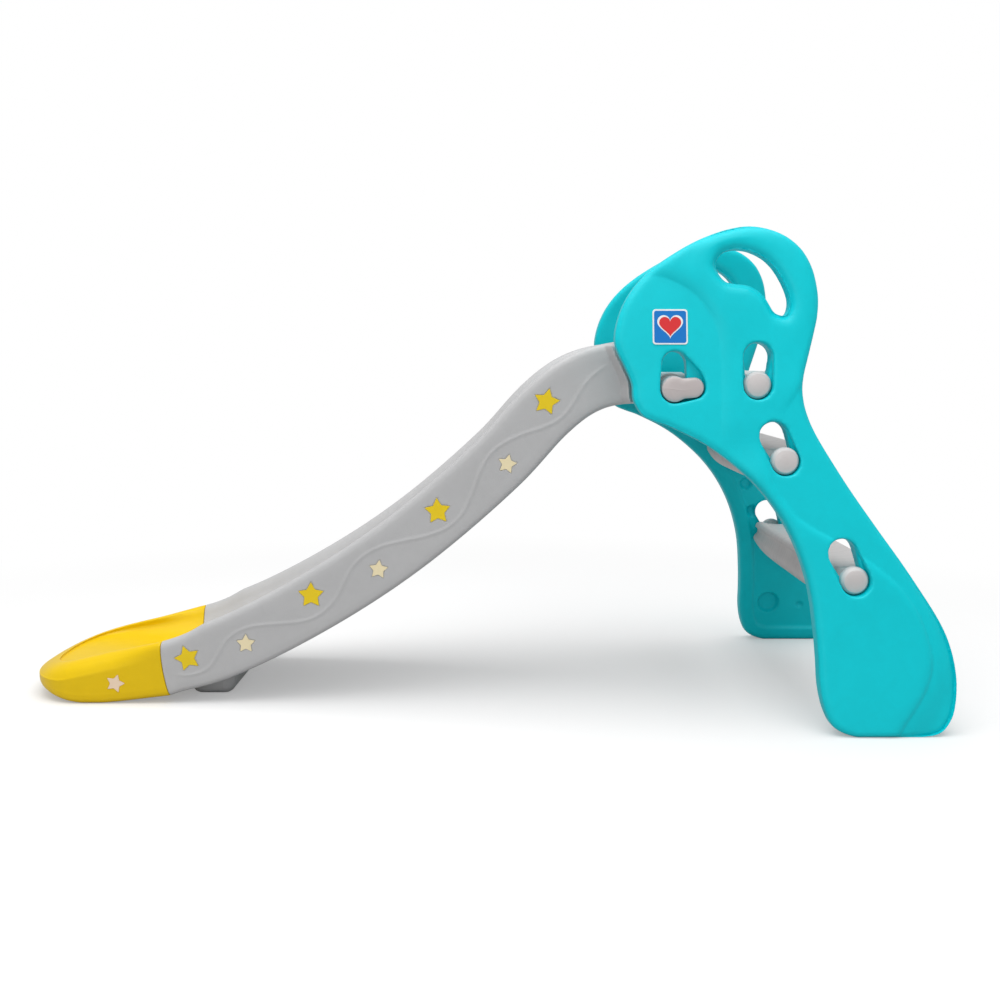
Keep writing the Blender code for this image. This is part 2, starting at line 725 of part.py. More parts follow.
def upright(name, centre, profile, kind=None, segments=16):
    """A solid of revolution about a vertical line, from (radius, z) pairs."""
    bm = bmesh.new()
    rings = []
    for radius, z in profile:
        if radius == 0:
            rings.append([bm.verts.new((centre[0], centre[1], z))] * segments)
            continue
        ring = circle(centre, radius, segments)
        rings.append([bm.verts.new((p[0], p[1], z)) for p in ring])
    skin(bm, rings)
    return add_object(bm, name, kind)


# Stars


def star_outline(centre, radius, lean):
    outline = []
    for i in range(2 * STAR_POINTS):
        angle = math.radians(90 + lean) + math.pi * i / STAR_POINTS
        reach = radius if i % 2 == 0 else radius * STAR_INNER
        outline.append(Vector((centre[0] + reach * math.cos(angle), centre[1] + reach * math.sin(angle))))
    return outline


def add_stars(owner, groups):
    """Star inlays in both sides of their owner, each in a recess of its own shape."""
    bed = HALF_WIDTH - STAR_RECESS
    for side, hand in ((-1, "right"), (1, "left")):
        recesses = []
        for kind, label, places, radius in groups:
            for number, (x, z, lean) in enumerate(places, 1):
                centre = drawn_on_chute((x, z))
                recesses.append(star_outline(centre, radius + 2 * GAP, lean))
                prisms(
                    f"{label}_{hand}_{number}",
                    [star_outline(centre, radius, lean)],
                    lambda z, s=side: s * (bed + GAP),
                    lambda z, s=side: s * (bed + GAP + STAR_THICK),
                    kind,
                )
        cutter = prisms(
            f"{owner.name}_{hand}_star_cutter",
            recesses,
            lambda z, s=side: s * bed,
            lambda z, s=side: s * (HALF_WIDTH + REACH_PAST),
        )
        boolean(owner, "DIFFERENCE", cutter)


def set_chute_origin(objects):
    """The chute and all it carries turn about the pivot, through a parent empty on its axis."""
    axis = bpy.data.objects.new("chute_pivot_axis", None)
    axis.location = (PIVOT_X, 0, PIVOT_Z)
    bpy.context.scene.collection.objects.link(axis)
    bpy.context.view_layer.update()
    for obj in objects:
        obj.parent = axis
        obj.matrix_parent_inverse = axis.matrix_world.inverted()


def main():
    clear_scene()
    for side, hand in ((-1, "right"), (1, "left")):
        panel = panel_blank(f"side_panel_{hand}", side)
        cut_panel(panel, side)
        make_label(f"label_{hand}", side)
    for name, keyhole in KEYHOLES.items():
        make_step(name, keyhole)
    ladder = set(bpy.data.objects)
    chute = make_chute_body()
    end = make_chute_end()
    add_lugs(chute)
    add_foot(chute)
    join_end(chute, end)
    large = ("large_star", "large_star", LARGE_STARS, LARGE_STAR_R)
    small = ("small_star", "small_star", SMALL_STARS, SMALL_STAR_R)
    add_stars(chute, [large, small])
    add_stars(end, [("small_star", "end_star", [END_STAR], SMALL_STAR_R)])
    set_chute_origin(sorted(set(bpy.data.objects) - ladder, key=lambda obj: obj.name))


main()
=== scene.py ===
# %% [markdown]
# # A folding toddler slide, finished in Blender
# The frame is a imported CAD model: two leaning side panels, three steps, a chute that hangs on a pivot
# between the panels, and a yellow end screwed to the chute. It fixes every size and every joint.
# This lesson builds the surface that a buyer sees, piece by piece, around that frame.

# %% Load the frame
import contextlib
import json
import math

import bpy
import numpy as np
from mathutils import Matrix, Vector


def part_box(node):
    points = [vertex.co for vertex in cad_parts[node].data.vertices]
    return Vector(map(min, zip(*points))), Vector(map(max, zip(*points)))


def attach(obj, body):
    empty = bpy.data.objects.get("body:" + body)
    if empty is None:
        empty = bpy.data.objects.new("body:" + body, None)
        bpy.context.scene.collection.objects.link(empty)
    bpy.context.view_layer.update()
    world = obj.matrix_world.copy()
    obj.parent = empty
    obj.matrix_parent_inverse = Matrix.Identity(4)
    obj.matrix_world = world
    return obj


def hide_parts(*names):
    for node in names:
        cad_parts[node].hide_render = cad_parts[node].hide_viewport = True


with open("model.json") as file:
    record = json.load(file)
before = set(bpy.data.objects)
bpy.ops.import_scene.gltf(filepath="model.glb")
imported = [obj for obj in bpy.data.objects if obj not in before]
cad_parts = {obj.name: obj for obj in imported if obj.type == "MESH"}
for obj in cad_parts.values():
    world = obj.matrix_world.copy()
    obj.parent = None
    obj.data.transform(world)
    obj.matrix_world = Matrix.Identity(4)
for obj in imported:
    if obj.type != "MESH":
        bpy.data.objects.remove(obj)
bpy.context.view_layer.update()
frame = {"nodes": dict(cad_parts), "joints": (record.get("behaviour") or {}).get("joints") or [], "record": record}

PIVOT = Vector(frame["joints"][0]["pos_m"])

# %% [markdown]
# ## Handling objects from a script
# A person clicks an object, then presses a key. A script deselects everything, selects one object and
# calls an operator. These helpers are those clicks, plus a way to read and place all of a mesh's
# points at once, which is how a script pulls a primitive into shape.

# %% Clicks and keys
def deselect_all():
    if bpy.context.object and bpy.context.object.mode != "OBJECT":
        bpy.ops.object.mode_set(mode="OBJECT")
    bpy.ops.object.select_all(action="DESELECT")


def pick(obj):
    deselect_all()
    obj.select_set(True)
    bpy.context.view_layer.objects.active = obj
    return obj


@contextlib.contextmanager
def editing(obj, elements="VERT", action="SELECT"):
    """Edit mode on one object, with all its points, edges or faces selected."""
    pick(obj)
    bpy.ops.object.mode_set(mode="EDIT")
    bpy.ops.mesh.select_mode(type=elements)
    bpy.ops.mesh.select_all(action=action)
    yield
    bpy.ops.object.mode_set(mode="OBJECT")


def apply_modifier(obj, kind, **settings):
    pick(obj)
    modifier = obj.modifiers.new(kind.lower(), kind)
    for key, value in settings.items():
        setattr(modifier, key, value)
    bpy.ops.object.modifier_apply(modifier=modifier.name)


def cut_or_join(obj, operation, other):
    """A Boolean with another solid, which is used up."""
    apply_modifier(obj, "BOOLEAN", operation=operation, solver="EXACT", object=other)
    bpy.data.objects.remove(other, do_unlink=True)


def named(obj, name):
    obj.name = name
    obj.data.name = name
    return obj


def linked(name, data):
    """A new object with this mesh or curve, in the scene."""
    obj = bpy.data.objects.new(name, data)
    bpy.context.scene.collection.objects.link(obj)
    return obj


deselect_all()

# %% Points of a mesh as an array
def points_of(obj):
    flat = np.empty(len(obj.data.vertices) * 3)
    obj.data.vertices.foreach_get("co", flat)
    return flat.reshape(-1, 3)


def put_points(obj, points):
    obj.data.vertices.foreach_set("co", np.asarray(points, np.float32).ravel())
    obj.data.update()


def normals_of(obj):
    flat = np.empty(len(obj.data.vertices) * 3, np.float32)
    obj.data.vertices.foreach_get("normal", flat)
    return flat.reshape(-1, 3)


def ease(t):
    """0 below 0, 1 above 1, and a soft ramp between."""
    t = np.clip(t, 0.0, 1.0)
    return t * t * (3 - 2 * t)


# %% Tidy a mesh: merge doubles, face outwards, shade
MERGE = 1e-5


def clean(obj, sharp_angle=35):
    with editing(obj):
        bpy.ops.mesh.remove_doubles(threshold=MERGE)
        bpy.ops.mesh.normals_make_consistent(inside=False)
    bpy.ops.object.shade_smooth_by_angle(angle=math.radians(sharp_angle))
    return obj


def finish_piece(obj, body, slot, materials, *nodes):
    """Gives a piece its finish and its body, and hides the CAD nodes that it stands for."""
    obj.data.materials.clear()
    for made in materials:
        obj.data.materials.append(made)
    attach(obj, body)
    if nodes:
        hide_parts(*nodes)
    obj.data.calc_loop_triangles()
    print(f"{obj.name}: {len(obj.data.loop_triangles)} triangles, rides on {body}")


# %% [markdown]
# ## Smooth lines
# Moulded toys are drawn with flowing lines: a few points, and a smooth curve through them. This is the
# centripetal Catmull-Rom curve, which goes through its points and doesn't loop or overshoot.

# %% A smooth line through points, and the distance to it
def mm(points):
    """Points given in millimetres."""
    return np.array(points) / 1000


def smooth_line(points, step=0.002, closed=False):
    points = np.array(points, float)
    if closed:
        points = np.vstack([points[-1:], points, points[:2]])
    else:
        points = np.vstack([2 * points[0] - points[1], points, 2 * points[-1] - points[-2]])
    line = []
    for a, b, c, d in zip(points, points[1:], points[2:], points[3:]):
        t1 = np.linalg.norm(b - a) ** 0.5
        t2 = t1 + np.linalg.norm(c - b) ** 0.5
        t3 = t2 + np.linalg.norm(d - c) ** 0.5
        pieces = max(1, round(np.linalg.norm(c - b) / step))
        t = (t1 + (t2 - t1) * np.arange(pieces) / pieces)[:, None]
        ab = a + (b - a) * t / t1
        bc = b + (c - b) * (t - t1) / (t2 - t1)
        cd = c + (d - c) * (t - t2) / (t3 - t2)
        abc, bcd = ab + (bc - ab) * t / t2, bc + (cd - bc) * (t - t1) / (t3 - t1)
        line.append(abc + (bcd - abc) * (t - t1) / (t2 - t1))
    if not closed:
        line.append(points[-2:-1])
    return np.vstack(line)


def near_line(places, line, chunk=4000):
    """For each place: the distance to the line, which side it is on (left is +) and how far along, 0 to 1."""
    along = np.gradient(line, axis=0)
    found = []
    for first in range(0, len(places), chunk):
        some = places[first:first + chunk]
        away = some[:, None] - line[None]
        square = (away**2).sum(2)
        best = square.argmin(1)
        off = away[np.arange(len(some)), best]
        side = np.sign(along[best, 0] * off[:, 1] - along[best, 1] * off[:, 0])
        found.append(np.stack([np.sqrt(square.min(1)), side, best / (len(line) - 1)], 1))
    return np.vstack(found).T


# %% [markdown]
# ## The side panel's outline
# Each side panel is one hollow blow-moulded shell: a tube of hot plastic blown against the two halves
# of a mould. The CAD solid has its outline, so a copy is stood upright, and a bisect with both halves
# cleared leaves only the cut: one near the outer face for the pockets, one deeper for the holes.

# %% Lean and thickness of the panels, read from the CAD faces
panel_node = frame["nodes"]["side_panel_right"]
flat_face = max((f for f in panel_node.data.polygons if f.normal.y < -0.9), key=lambda f: f.area)
LEAN = flat_face.normal.z / -flat_face.normal.y
FACE_AT_FLOOR = LEAN * flat_face.center.z - flat_face.center.y


def outer_face(z):
    """How far from the middle a panel's outer face is, at height z."""
    return FACE_AT_FLOOR - LEAN * z


node_points = points_of(panel_node)
PANEL_THICK = FACE_AT_FLOOR - (LEAN * node_points[:, 2] - node_points[:, 1]).min()
print(f"lean {LEAN:.3f}, outer face at the floor {FACE_AT_FLOOR:.3f}, thickness {PANEL_THICK:.3f}")

# %% Slice the CAD panel into loops
POCKET_SLICE = 0.0030
THROUGH_SLICE = 0.0260
WELD = 3e-4
STRAIGHT = math.radians(0.4)


def sliced_loops(depth):
    """The closed loops, as arrays of x and z, where a sheet under the outer face cuts the panel."""
    obj = linked("slice", panel_node.data.copy())
    upright = points_of(obj)
    upright[:, 1] = -upright[:, 1] - outer_face(upright[:, 2])
    put_points(obj, upright)
    with editing(obj):
        bpy.ops.mesh.remove_doubles(threshold=MERGE)
        bpy.ops.mesh.bisect(plane_co=(0, -depth, 0), plane_no=(0, 1, 0), clear_inner=True, clear_outer=True)
        bpy.ops.mesh.select_all(action="SELECT")
        bpy.ops.mesh.remove_doubles(threshold=WELD)
        bpy.ops.mesh.dissolve_limited(angle_limit=STRAIGHT)
    places = points_of(obj)[:, [0, 2]]
    links = {}
    for edge in obj.data.edges:
        a, b = edge.vertices
        links.setdefault(a, []).append(b)
        links.setdefault(b, []).append(a)
    bpy.data.objects.remove(obj, do_unlink=True)
    loops = []
    while links:
        here, loop = next(iter(links)), []
        while here is not None:
            loop.append(here)
            here = next((n for n in links.pop(here) if n in links), None)
        loops.append(places[loop])
    return sorted(loops, key=lambda loop: -abs(loop_area(loop)))


def loop_area(loop):
    after = np.roll(loop, -1, axis=0)
    return (loop[:, 0] * after[:, 1] - after[:, 0] * loop[:, 1]).sum() / 2


def anticlockwise(loop):
    return loop if loop_area(loop) > 0 else loop[::-1]


EDGE_STEP = 0.0022
outline, handle_hole, *through_holes = [
    smooth_line(anticlockwise(loop), EDGE_STEP, True) for loop in sliced_loops(THROUGH_SLICE)
]
pockets = [anticlockwise(loop) for loop in sliced_loops(POCKET_SLICE)[2:]]
outline[:, 1] = np.maximum(outline[:, 1], 0.0)
print(f"{len(outline)} outline points, {len(through_holes)} through holes, {len(pockets)} pockets")

# %% [markdown]
# ## The panel's blank
# A filled curve with a bevel is the quickest rounded plate: the outline and the handle hole go in as
# two splines. It becomes a mesh and is leaned over, by sliding each point sideways by its height.

# %% A rounded plate from the two outlines
EDGE_RADIUS = 0.0095
OUTLINE_GROWS = 0.0007


def rounded_plate(name, loops, thick, radius):
    curve = bpy.data.curves.new(name, "CURVE")
    curve.dimensions = "2D"
    curve.fill_mode = "BOTH"
    curve.extrude = thick / 2 - radius
    curve.bevel_depth = radius
    curve.bevel_resolution = 4
    curve.offset = OUTLINE_GROWS - radius
    for loop in loops:
        spline = curve.splines.new("POLY")
        spline.points.add(len(loop) - 1)
        places = np.column_stack([loop, np.zeros(len(loop)), np.ones(len(loop))])
        spline.points.foreach_set("co", places.ravel())
        spline.use_cyclic_u = True
    pick(linked(name, curve))
    bpy.ops.object.convert(target="MESH")
    return named(bpy.context.object, name)


panel = rounded_plate("side_panel_shell_right", [outline, handle_hole], PANEL_THICK, EDGE_RADIUS)
flat = points_of(panel)
lean_y = -(outer_face(flat[:, 1]) - PANEL_THICK / 2) - flat[:, 2]
put_points(panel, np.column_stack([flat[:, 0], lean_y, flat[:, 1]]))
clean(panel)
print("blank", [round(v, 3) for v in panel.dimensions])

# %% [markdown]
# ## Keyholes and pockets
# A step's mushroom cap goes in through the wide top of a keyhole and drops into the narrow bottom,
# where it sits in a pocket. The pocket's depth comes from the CAD points on its own wall.

# %% Straight cutters across the slide
def prism(name, loop, y_from, y_to):
    """A solid with this outline in x and z, from one y to the other."""
    deselect_all()
    bpy.ops.mesh.primitive_circle_add(vertices=len(loop), fill_type="NGON")
    obj = named(bpy.context.object, name)
    put_points(obj, np.column_stack([loop[:, 0], np.full(len(loop), y_from), loop[:, 1]]))
    with editing(obj):
        bpy.ops.mesh.extrude_region_move(TRANSFORM_OT_translate={"value": (0, y_to - y_from, 0)})
    return clean(obj)


def pocket_floor(loop):
    """The y of the pocket's floor: the innermost CAD point that lies on the pocket's outline."""
    away = np.linalg.norm(node_points[:, None, [0, 2]] - loop[None], axis=2).min(1)
    return node_points[away < WELD, 1].max()


OUTSIDE = -(FACE_AT_FLOOR + 0.02)
for loop in through_holes:
    cut_or_join(panel, "DIFFERENCE", prism("through_cutter", loop, OUTSIDE, 0.0))
pocket_loops = []
for loop in pockets:
    floor_y = pocket_floor(loop)
    pocket_loops.append(smooth_line(loop, EDGE_STEP, True))
    cut_or_join(panel, "DIFFERENCE", prism("pocket_cutter", pocket_loops[-1], OUTSIDE, floor_y))
    print("pocket floor at y", round(floor_y, 4))

# %% [markdown]
# ## One skin of even faces
# Boolean cuts leave long thin faces that can't be sculpted. A voxel remesh rebuilds the solid from
# small squares, and a few rounds of smoothing round each cut edge, as blown plastic rounds.

# %% Remesh and soften
PANEL_VOXEL = 0.0022
SOFTEN_ROUNDS = 7
apply_modifier(panel, "REMESH", mode="VOXEL", voxel_size=PANEL_VOXEL)
apply_modifier(panel, "SMOOTH", factor=0.5, iterations=SOFTEN_ROUNDS)
print(len(panel.data.vertices), "points in the panel's skin")

# %% [markdown]
# ## Relief on the panel
# The mould has soft steps and swells: a raised band round the flat place for the label, a long lobe
# over the foot, and on the inner face a sunk field inside a rim, with round dimples where the two
# walls touch. By hand this is sculpting. Here each line is a smooth curve, and points move along the
# face's normal by their distance to it.

# %% Lines of the relief, from the pivot's x and the floor
BAND_LINE = mm([
    (-52, 652), (-20, 652), (4, 643), (27, 629), (45, 610), (58, 588), (65, 562), (67, 530),
    (67, 480), (66, 430), (66, 400),
])
WAIST_LINE = mm([
    (196, 506), (185, 495), (174, 479), (162, 462), (152, 446),
])
LOBE_LINE = mm([
    (112, 420), (128, 390), (143, 352), (158, 326), (176, 305), (198, 290), (226, 275), (262, 253),
    (292, 232), (322, 205), (343, 173), (355, 140), (361, 104), (354, 72), (336, 40), (318, 14),
    (300, -20), (270, -80),
])
DIMPLES = mm([(256, 73, 21, 10.5), (315, 69, 8, 4.5),
           (198, 304, 12, 8), (213, 253, 12, 8)])

# %% Sculpt the outer face
FLANK_DEPTH = 0.0062
CROWN = 0.0022
GRIP_RADIUS = 0.018
GRIP_ROUNDING = 0.0075
panel_points = points_of(panel)
panel_normals = normals_of(panel)
outward = np.array([0, -1, LEAN]) / math.hypot(1, LEAN)
facing = panel_normals @ outward
drawn = panel_points[:, [0, 2]] - [PIVOT.x, 0]
to_edge = near_line(panel_points[:, [0, 2]], outline)[0]
to_handle = near_line(panel_points[:, [0, 2]], handle_hole)[0]


def raised(line, height, width, reach, start=0.08, end=0.05):
    """A crease with a rise on its left, which fades again over its reach. Also how far inside and along."""
    distance, side, along = near_line(drawn, smooth_line(line))
    fade = ease(along / start) * ease((1 - along) / end)
    inside = np.where(side > 0, distance, -distance)
    rise = 1 - np.exp(-np.maximum(inside, 0) / width)
    return height * rise * np.exp(-np.maximum(inside, 0) / reach) * fade, inside, along


band, _, band_along = raised(BAND_LINE, 0.0098, 0.0160, 0.075, 0.15, 0.15)
band *= 1 - 0.66 * ease((band_along - 0.35) / 0.25)
lobe, inside_lobe, _ = raised(LOBE_LINE[::-1], 0.0052, 0.0050, 0.090, 0.01, 0.10)
waist, _, _ = raised(WAIST_LINE[::-1], 0.0030, 0.0050, 0.030, 0.5, 0.30)
flank = FLANK_DEPTH * ease(-inside_lobe / 0.040) * ease((0.27 - drawn[:, 1]) / 0.10) * (drawn[:, 0] > 0.18)
tube = np.minimum(to_edge, to_handle)
crown = CROWN * (1 - np.exp(-tube / 0.035))
near_handle = ease((0.045 - to_handle) / 0.02)
round_tube = 1 - np.sqrt(1 - (1 - np.clip(tube / GRIP_RADIUS, 0, 1)) ** 2)
round_tube = GRIP_ROUNDING * round_tube * near_handle
outer_relief = band + lobe + waist + crown - flank - CROWN - round_tube
print("band, lobe and waist rise", [round(float(r.max() * 1000), 1) for r in (band, lobe, waist)], "mm")

# %% Sculpt the inner face and move the points
RIM_WIDTH = 0.021
FIELD_DEPTH = 0.0055
field = ease((to_edge - RIM_WIDTH) / 0.006) * ease((0.50 - drawn[:, 1]) / 0.04) * FIELD_DEPTH
dimples = np.zeros(len(drawn))
for x, z, radius, depth in DIMPLES:
    away = np.hypot(drawn[:, 0] - x, drawn[:, 1] - z)
    dimples = np.maximum(dimples, depth * ease((radius - away) / 0.005))
inner_relief = field + dimples + round_tube
outer_share = ease((facing - 0.35) / 0.4)
inner_share = ease((-facing - 0.35) / 0.4)
shift = outer_share * outer_relief + inner_share * inner_relief
moved = panel_points + shift[:, None] * outward
moved[:, 2] = np.maximum(moved[:, 2], 0.0)
put_points(panel, moved)
clean(panel, 60)

# %% [markdown]
# ## Moulded plastic
# All the big pieces are coloured polyethylene. Its pigment varies a little, swirls and scuffs change
# the gloss, and the mould's texture gives a fine orange peel. One node group makes these for every
# plastic, and each material feeds it its own values.

# %% The group that all plastics share
def feed(tree, made, inputs):
    """Fills a node's inputs: a socket is linked, and anything else is set as a value."""
    for key, value in inputs.items():
        if isinstance(value, bpy.types.NodeSocket):
            tree.links.new(value, made.inputs[key])
        else:
            made.inputs[key].default_value = value
    return made


def node(tree, kind, inputs=(), **settings):
    made = tree.nodes.new(kind if kind.startswith("Node") else "ShaderNode" + kind)
    for key, value in settings.items():
        setattr(made, key, value)
    return feed(tree, made, dict(inputs))


def noise(tree, place, **inputs):
    return node(tree, "TexNoise", {"Vector": place, **inputs}).outputs["Fac"]


def sums(tree, operation, first, second):
    return node(tree, "Math", {0: first, 1: second}, operation=operation).outputs[0]


def object_place(tree):
    return node(tree, "TexCoord").outputs["Object"]


def plastic_group():
    tree = bpy.data.node_groups.new("moulded_plastic", "ShaderNodeTree")
    for name, value in (("Colour", (1, 1, 1, 1)), ("Variation", 0.05), ("Roughness", 0.4), ("Peel", 1.0),
                        ("Scuffs", 0.3)):
        kind = "NodeSocketColor" if name == "Colour" else "NodeSocketFloat"
        tree.interface.new_socket(name, in_out="INPUT", socket_type=kind).default_value = value
    for name, kind in (("Colour", "Color"), ("Roughness", "Float"), ("Height", "Float")):
        tree.interface.new_socket(name, in_out="OUTPUT", socket_type="NodeSocket" + kind)
    given = node(tree, "NodeGroupInput").outputs
    place = object_place(tree)
    clouds = noise(tree, place, Scale=7.0, Detail=3.0, Roughness=0.55)
    swirls = noise(tree, place, Scale=46.0, Detail=4.0, Roughness=0.6, Distortion=0.8)
    peel = noise(tree, place, Scale=620.0, Detail=2.0, Roughness=0.5)
    stretched = {"Vector": place, "Scale": (14.0, 60.0, 160.0), "Rotation": (0.3, 0.5, 0.2)}
    scratch = noise(tree, node(tree, "Mapping", stretched).outputs[0], Scale=1.6, Detail=6.0,
                    Roughness=0.7)
    centred = sums(tree, "ADD", sums(tree, "ADD", clouds, swirls), -1.0)
    bright = sums(tree, "ADD", sums(tree, "MULTIPLY", centred, given["Variation"]), 1.0)
    shade = node(tree, "HueSaturation", {"Color": given["Colour"], "Value": bright})
    worn = node(tree, "MapRange", {"Value": scratch, "From Min": 0.56, "From Max": 0.72})
    scuffed = sums(tree, "MULTIPLY", worn.outputs[0], given["Scuffs"])
    rough = sums(tree, "ADD", given["Roughness"], sums(tree, "MULTIPLY", scuffed, 0.35))
    height = sums(tree, "MULTIPLY", peel, given["Peel"])
    node(tree, "NodeGroupOutput", {"Colour": shade.outputs[0], "Roughness": rough, "Height": height})
    return tree


PLASTIC = plastic_group()

# %% One material for each colour of plastic
def new_material(name):
    made = bpy.data.materials.new(name)
    made.use_nodes = True
    return made


def plastic(name, colour, roughness, variation=0.10, peel=1.0, scuffs=0.3, specular=0.45):
    made = new_material(name)
    tree = made.node_tree
    given = {"Colour": (*colour, 1), "Roughness": roughness, "Variation": variation, "Peel": peel,
             "Scuffs": scuffs}
    group = node(tree, "Group", given, node_tree=PLASTIC).outputs
    bump = node(tree, "Bump", {"Strength": 0.35, "Distance": 0.0004, "Height": group["Height"]})
    feed(tree, tree.nodes["Principled BSDF"], {
        "Specular IOR Level": specular, "Base Color": group["Colour"], "Roughness": group["Roughness"],
        "Normal": bump.outputs[0],
    })
    return made


def streaked(made):
    """Adds the fine lines that a mould's brushed face leaves, along the slide's length."""
    tree = made.node_tree
    shader = tree.nodes["Principled BSDF"]
    base, normal = (shader.inputs[name].links[0].from_socket for name in ("Base Color", "Normal"))
    stretched = {"Vector": object_place(tree), "Scale": (5.0, 300.0, 40.0)}
    lines = noise(tree, node(tree, "Mapping", stretched).outputs[0], Scale=1.0, Detail=4.0,
                  Roughness=0.6)
    limits = {"From Min": 0.35, "From Max": 0.6, "To Min": 0.93, "To Max": 1.03}
    tone = node(tree, "MapRange", {"Value": lines, **limits})
    shade = node(tree, "HueSaturation", {"Color": base, "Value": tone.outputs[0]})
    bump = {"Strength": 0.1, "Distance": 0.0004, "Height": lines, "Normal": normal}
    bump = node(tree, "Bump", bump)
    feed(tree, shader, {"Base Color": shade.outputs[0], "Normal": bump.outputs[0]})
    return made


TEAL = plastic("teal_plastic", (0.0, 0.61, 0.69), 0.40, specular=0.22)
GREY = plastic("pale_grey_plastic", (0.50, 0.50, 0.505), 0.38)
WARM_GREY = plastic("warm_grey_plastic", (0.56, 0.505, 0.50), 0.38)
TREAD_GREY = streaked(plastic("tread_plastic", (0.66, 0.625, 0.62), 0.42))
YELLOW = plastic("yellow_plastic", (0.82, 0.55, 0.002), 0.34, specular=0.25)
STAR_YELLOW = plastic("star_yellow_plastic", (0.86, 0.62, 0.002), 0.42)
CREAM = plastic("star_cream_plastic", (0.90, 0.78, 0.50), 0.45)
PINK_CREAM = plastic("end_star_plastic", (0.90, 0.70, 0.52), 0.45)
print(len(bpy.data.materials), "materials")

# %% [markdown]
# ## The second panel
# The left panel mirrors the right one. A mirrored mesh is inside out, so its faces are flipped.

# %% Mirror the panel across the slide
def mirrored_copy(obj, name):
    other = named(linked(name, obj.data.copy()), name)
    put_points(other, points_of(other) * [1, -1, 1])
    other.data.flip_normals()
    return other


left_panel = mirrored_copy(panel, "side_panel_shell_left")
finish_piece(panel, "ladder", "panel_teal", [TEAL], "side_panel_right")
finish_piece(left_panel, "ladder", "panel_teal", [TEAL], "side_panel_left")

# %% [markdown]
# ## Grids wrapped into shape
# The chute is a long section with a trough, rolled rims and tall sides. A grid already has the faces,
# and its points are placed by a rule, one direction along the chute and the other round the section.
# The ends are then filled and bevelled.

# %% A grid whose points follow a rule
def wrapped_grid(name, along, around, rule):
    deselect_all()
    bpy.ops.mesh.primitive_grid_add(x_subdivisions=along, y_subdivisions=around, size=1)
    obj = named(bpy.context.object, name)
    flat = points_of(obj)
    put_points(obj, rule(flat[:, 0] + 0.5, flat[:, 1] + 0.5))
    return clean(obj)


def cap_open_ends(obj, bevel, segments=3):
    """Fills each open loop with one face, and rounds its edge."""
    with editing(obj, "EDGE", "DESELECT"):
        bpy.ops.mesh.select_non_manifold()
        bpy.ops.mesh.fill_holes(sides=0)
        if bevel:
            bpy.ops.mesh.bevel(offset=bevel, segments=segments, affect="EDGES", clamp_overlap=True)
    return clean(obj)


def share_out(line, spacing):
    """Positions 0 to 1 along a line, where each stretch gets points by its own spacing."""
    middle = (line[1:] + line[:-1]) / 2
    lengths = np.linalg.norm(np.diff(line, axis=0), axis=1)
    counts = np.concatenate([[0], np.cumsum(lengths / spacing(middle))])
    return counts / counts[-1], counts[-1]


# %% [markdown]
# ## The chute's section and path
# The section is drawn once, from the middle of the trough over the rolled rim, down the side and
# under. The path is the bottom edge of the side, a slow S that turns level at the top. At the yellow
# end the section stands upright, and higher up it is square to the path.

# %% Section of the chute
SIDE_HEIGHT = 0.094
SEAM_HEIGHT = 0.085
TROUGH_DEPTH = 0.052
chute_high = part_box("chute_upper")[1]
HALF_WIDTH = round(-(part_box("large_star_right_1")[0].y + 0.0002), 4)
HALF_SECTION = mm([
    (0, 52), (30, 51.8), (60, 50.2), (83, 46.2), (98.5, 39.5), (110, 29.2), (118, 18), (123.2, 8.5),
    (129, 2), (136, 0), (142.2, 2.2), (145.5, 7.8), (146.5, 16), (146.5, 30), (146.5, 50),
    (146.5, 70), (146.5, 82), (145.2, 89.5), (140, 93.6), (132, 94), (122.5, 93.8), (118, 90),
    (112, 83.5), (104, 82), (50, 82), (0, 82),
])
half_section = smooth_line(HALF_SECTION, 0.0008)


def section_spacing(middle):
    y, depth = middle.T
    under = (depth > 0.075) & (y < 0.11)
    floor = (depth > 0.03) & (y < 0.10)
    return np.where(under, 0.012, np.where(floor, 0.006, np.where(depth < 0.022, 0.0017, 0.0019)))


section_share, section_count = share_out(half_section, section_spacing)
crest_share = section_share[half_section[:, 1].argmin()]


def section_at(v):
    """Half width and depth under the crest at v, which goes once round: 0 and 1 in the trough's middle."""
    half_v = np.where(v < 0.5, v, 1 - v) * 2
    y = np.interp(half_v, section_share, half_section[:, 0])
    depth = np.interp(half_v, section_share, half_section[:, 1])
    return np.where(v < 0.5, -y, y), depth, half_v > crest_share


def fit_height(depth, height):
    """The side's depths, drawn for SIDE_HEIGHT, fitted to another height with the roundings kept."""
    top = np.minimum(0.020, 0.38 * height)
    bottom = np.minimum(0.012, 0.30 * height)
    middle = (depth - 0.020) / (SIDE_HEIGHT - 0.032)
    fitted = top + middle * (height - top - bottom)
    fitted = np.where(depth < 0.020, depth * top / 0.020, fitted)
    low = SIDE_HEIGHT - depth
    return np.where(low < 0.012, height - low * bottom / 0.012, fitted)


print(f"half width {HALF_WIDTH}, {2 * section_count:.0f} points round the section")

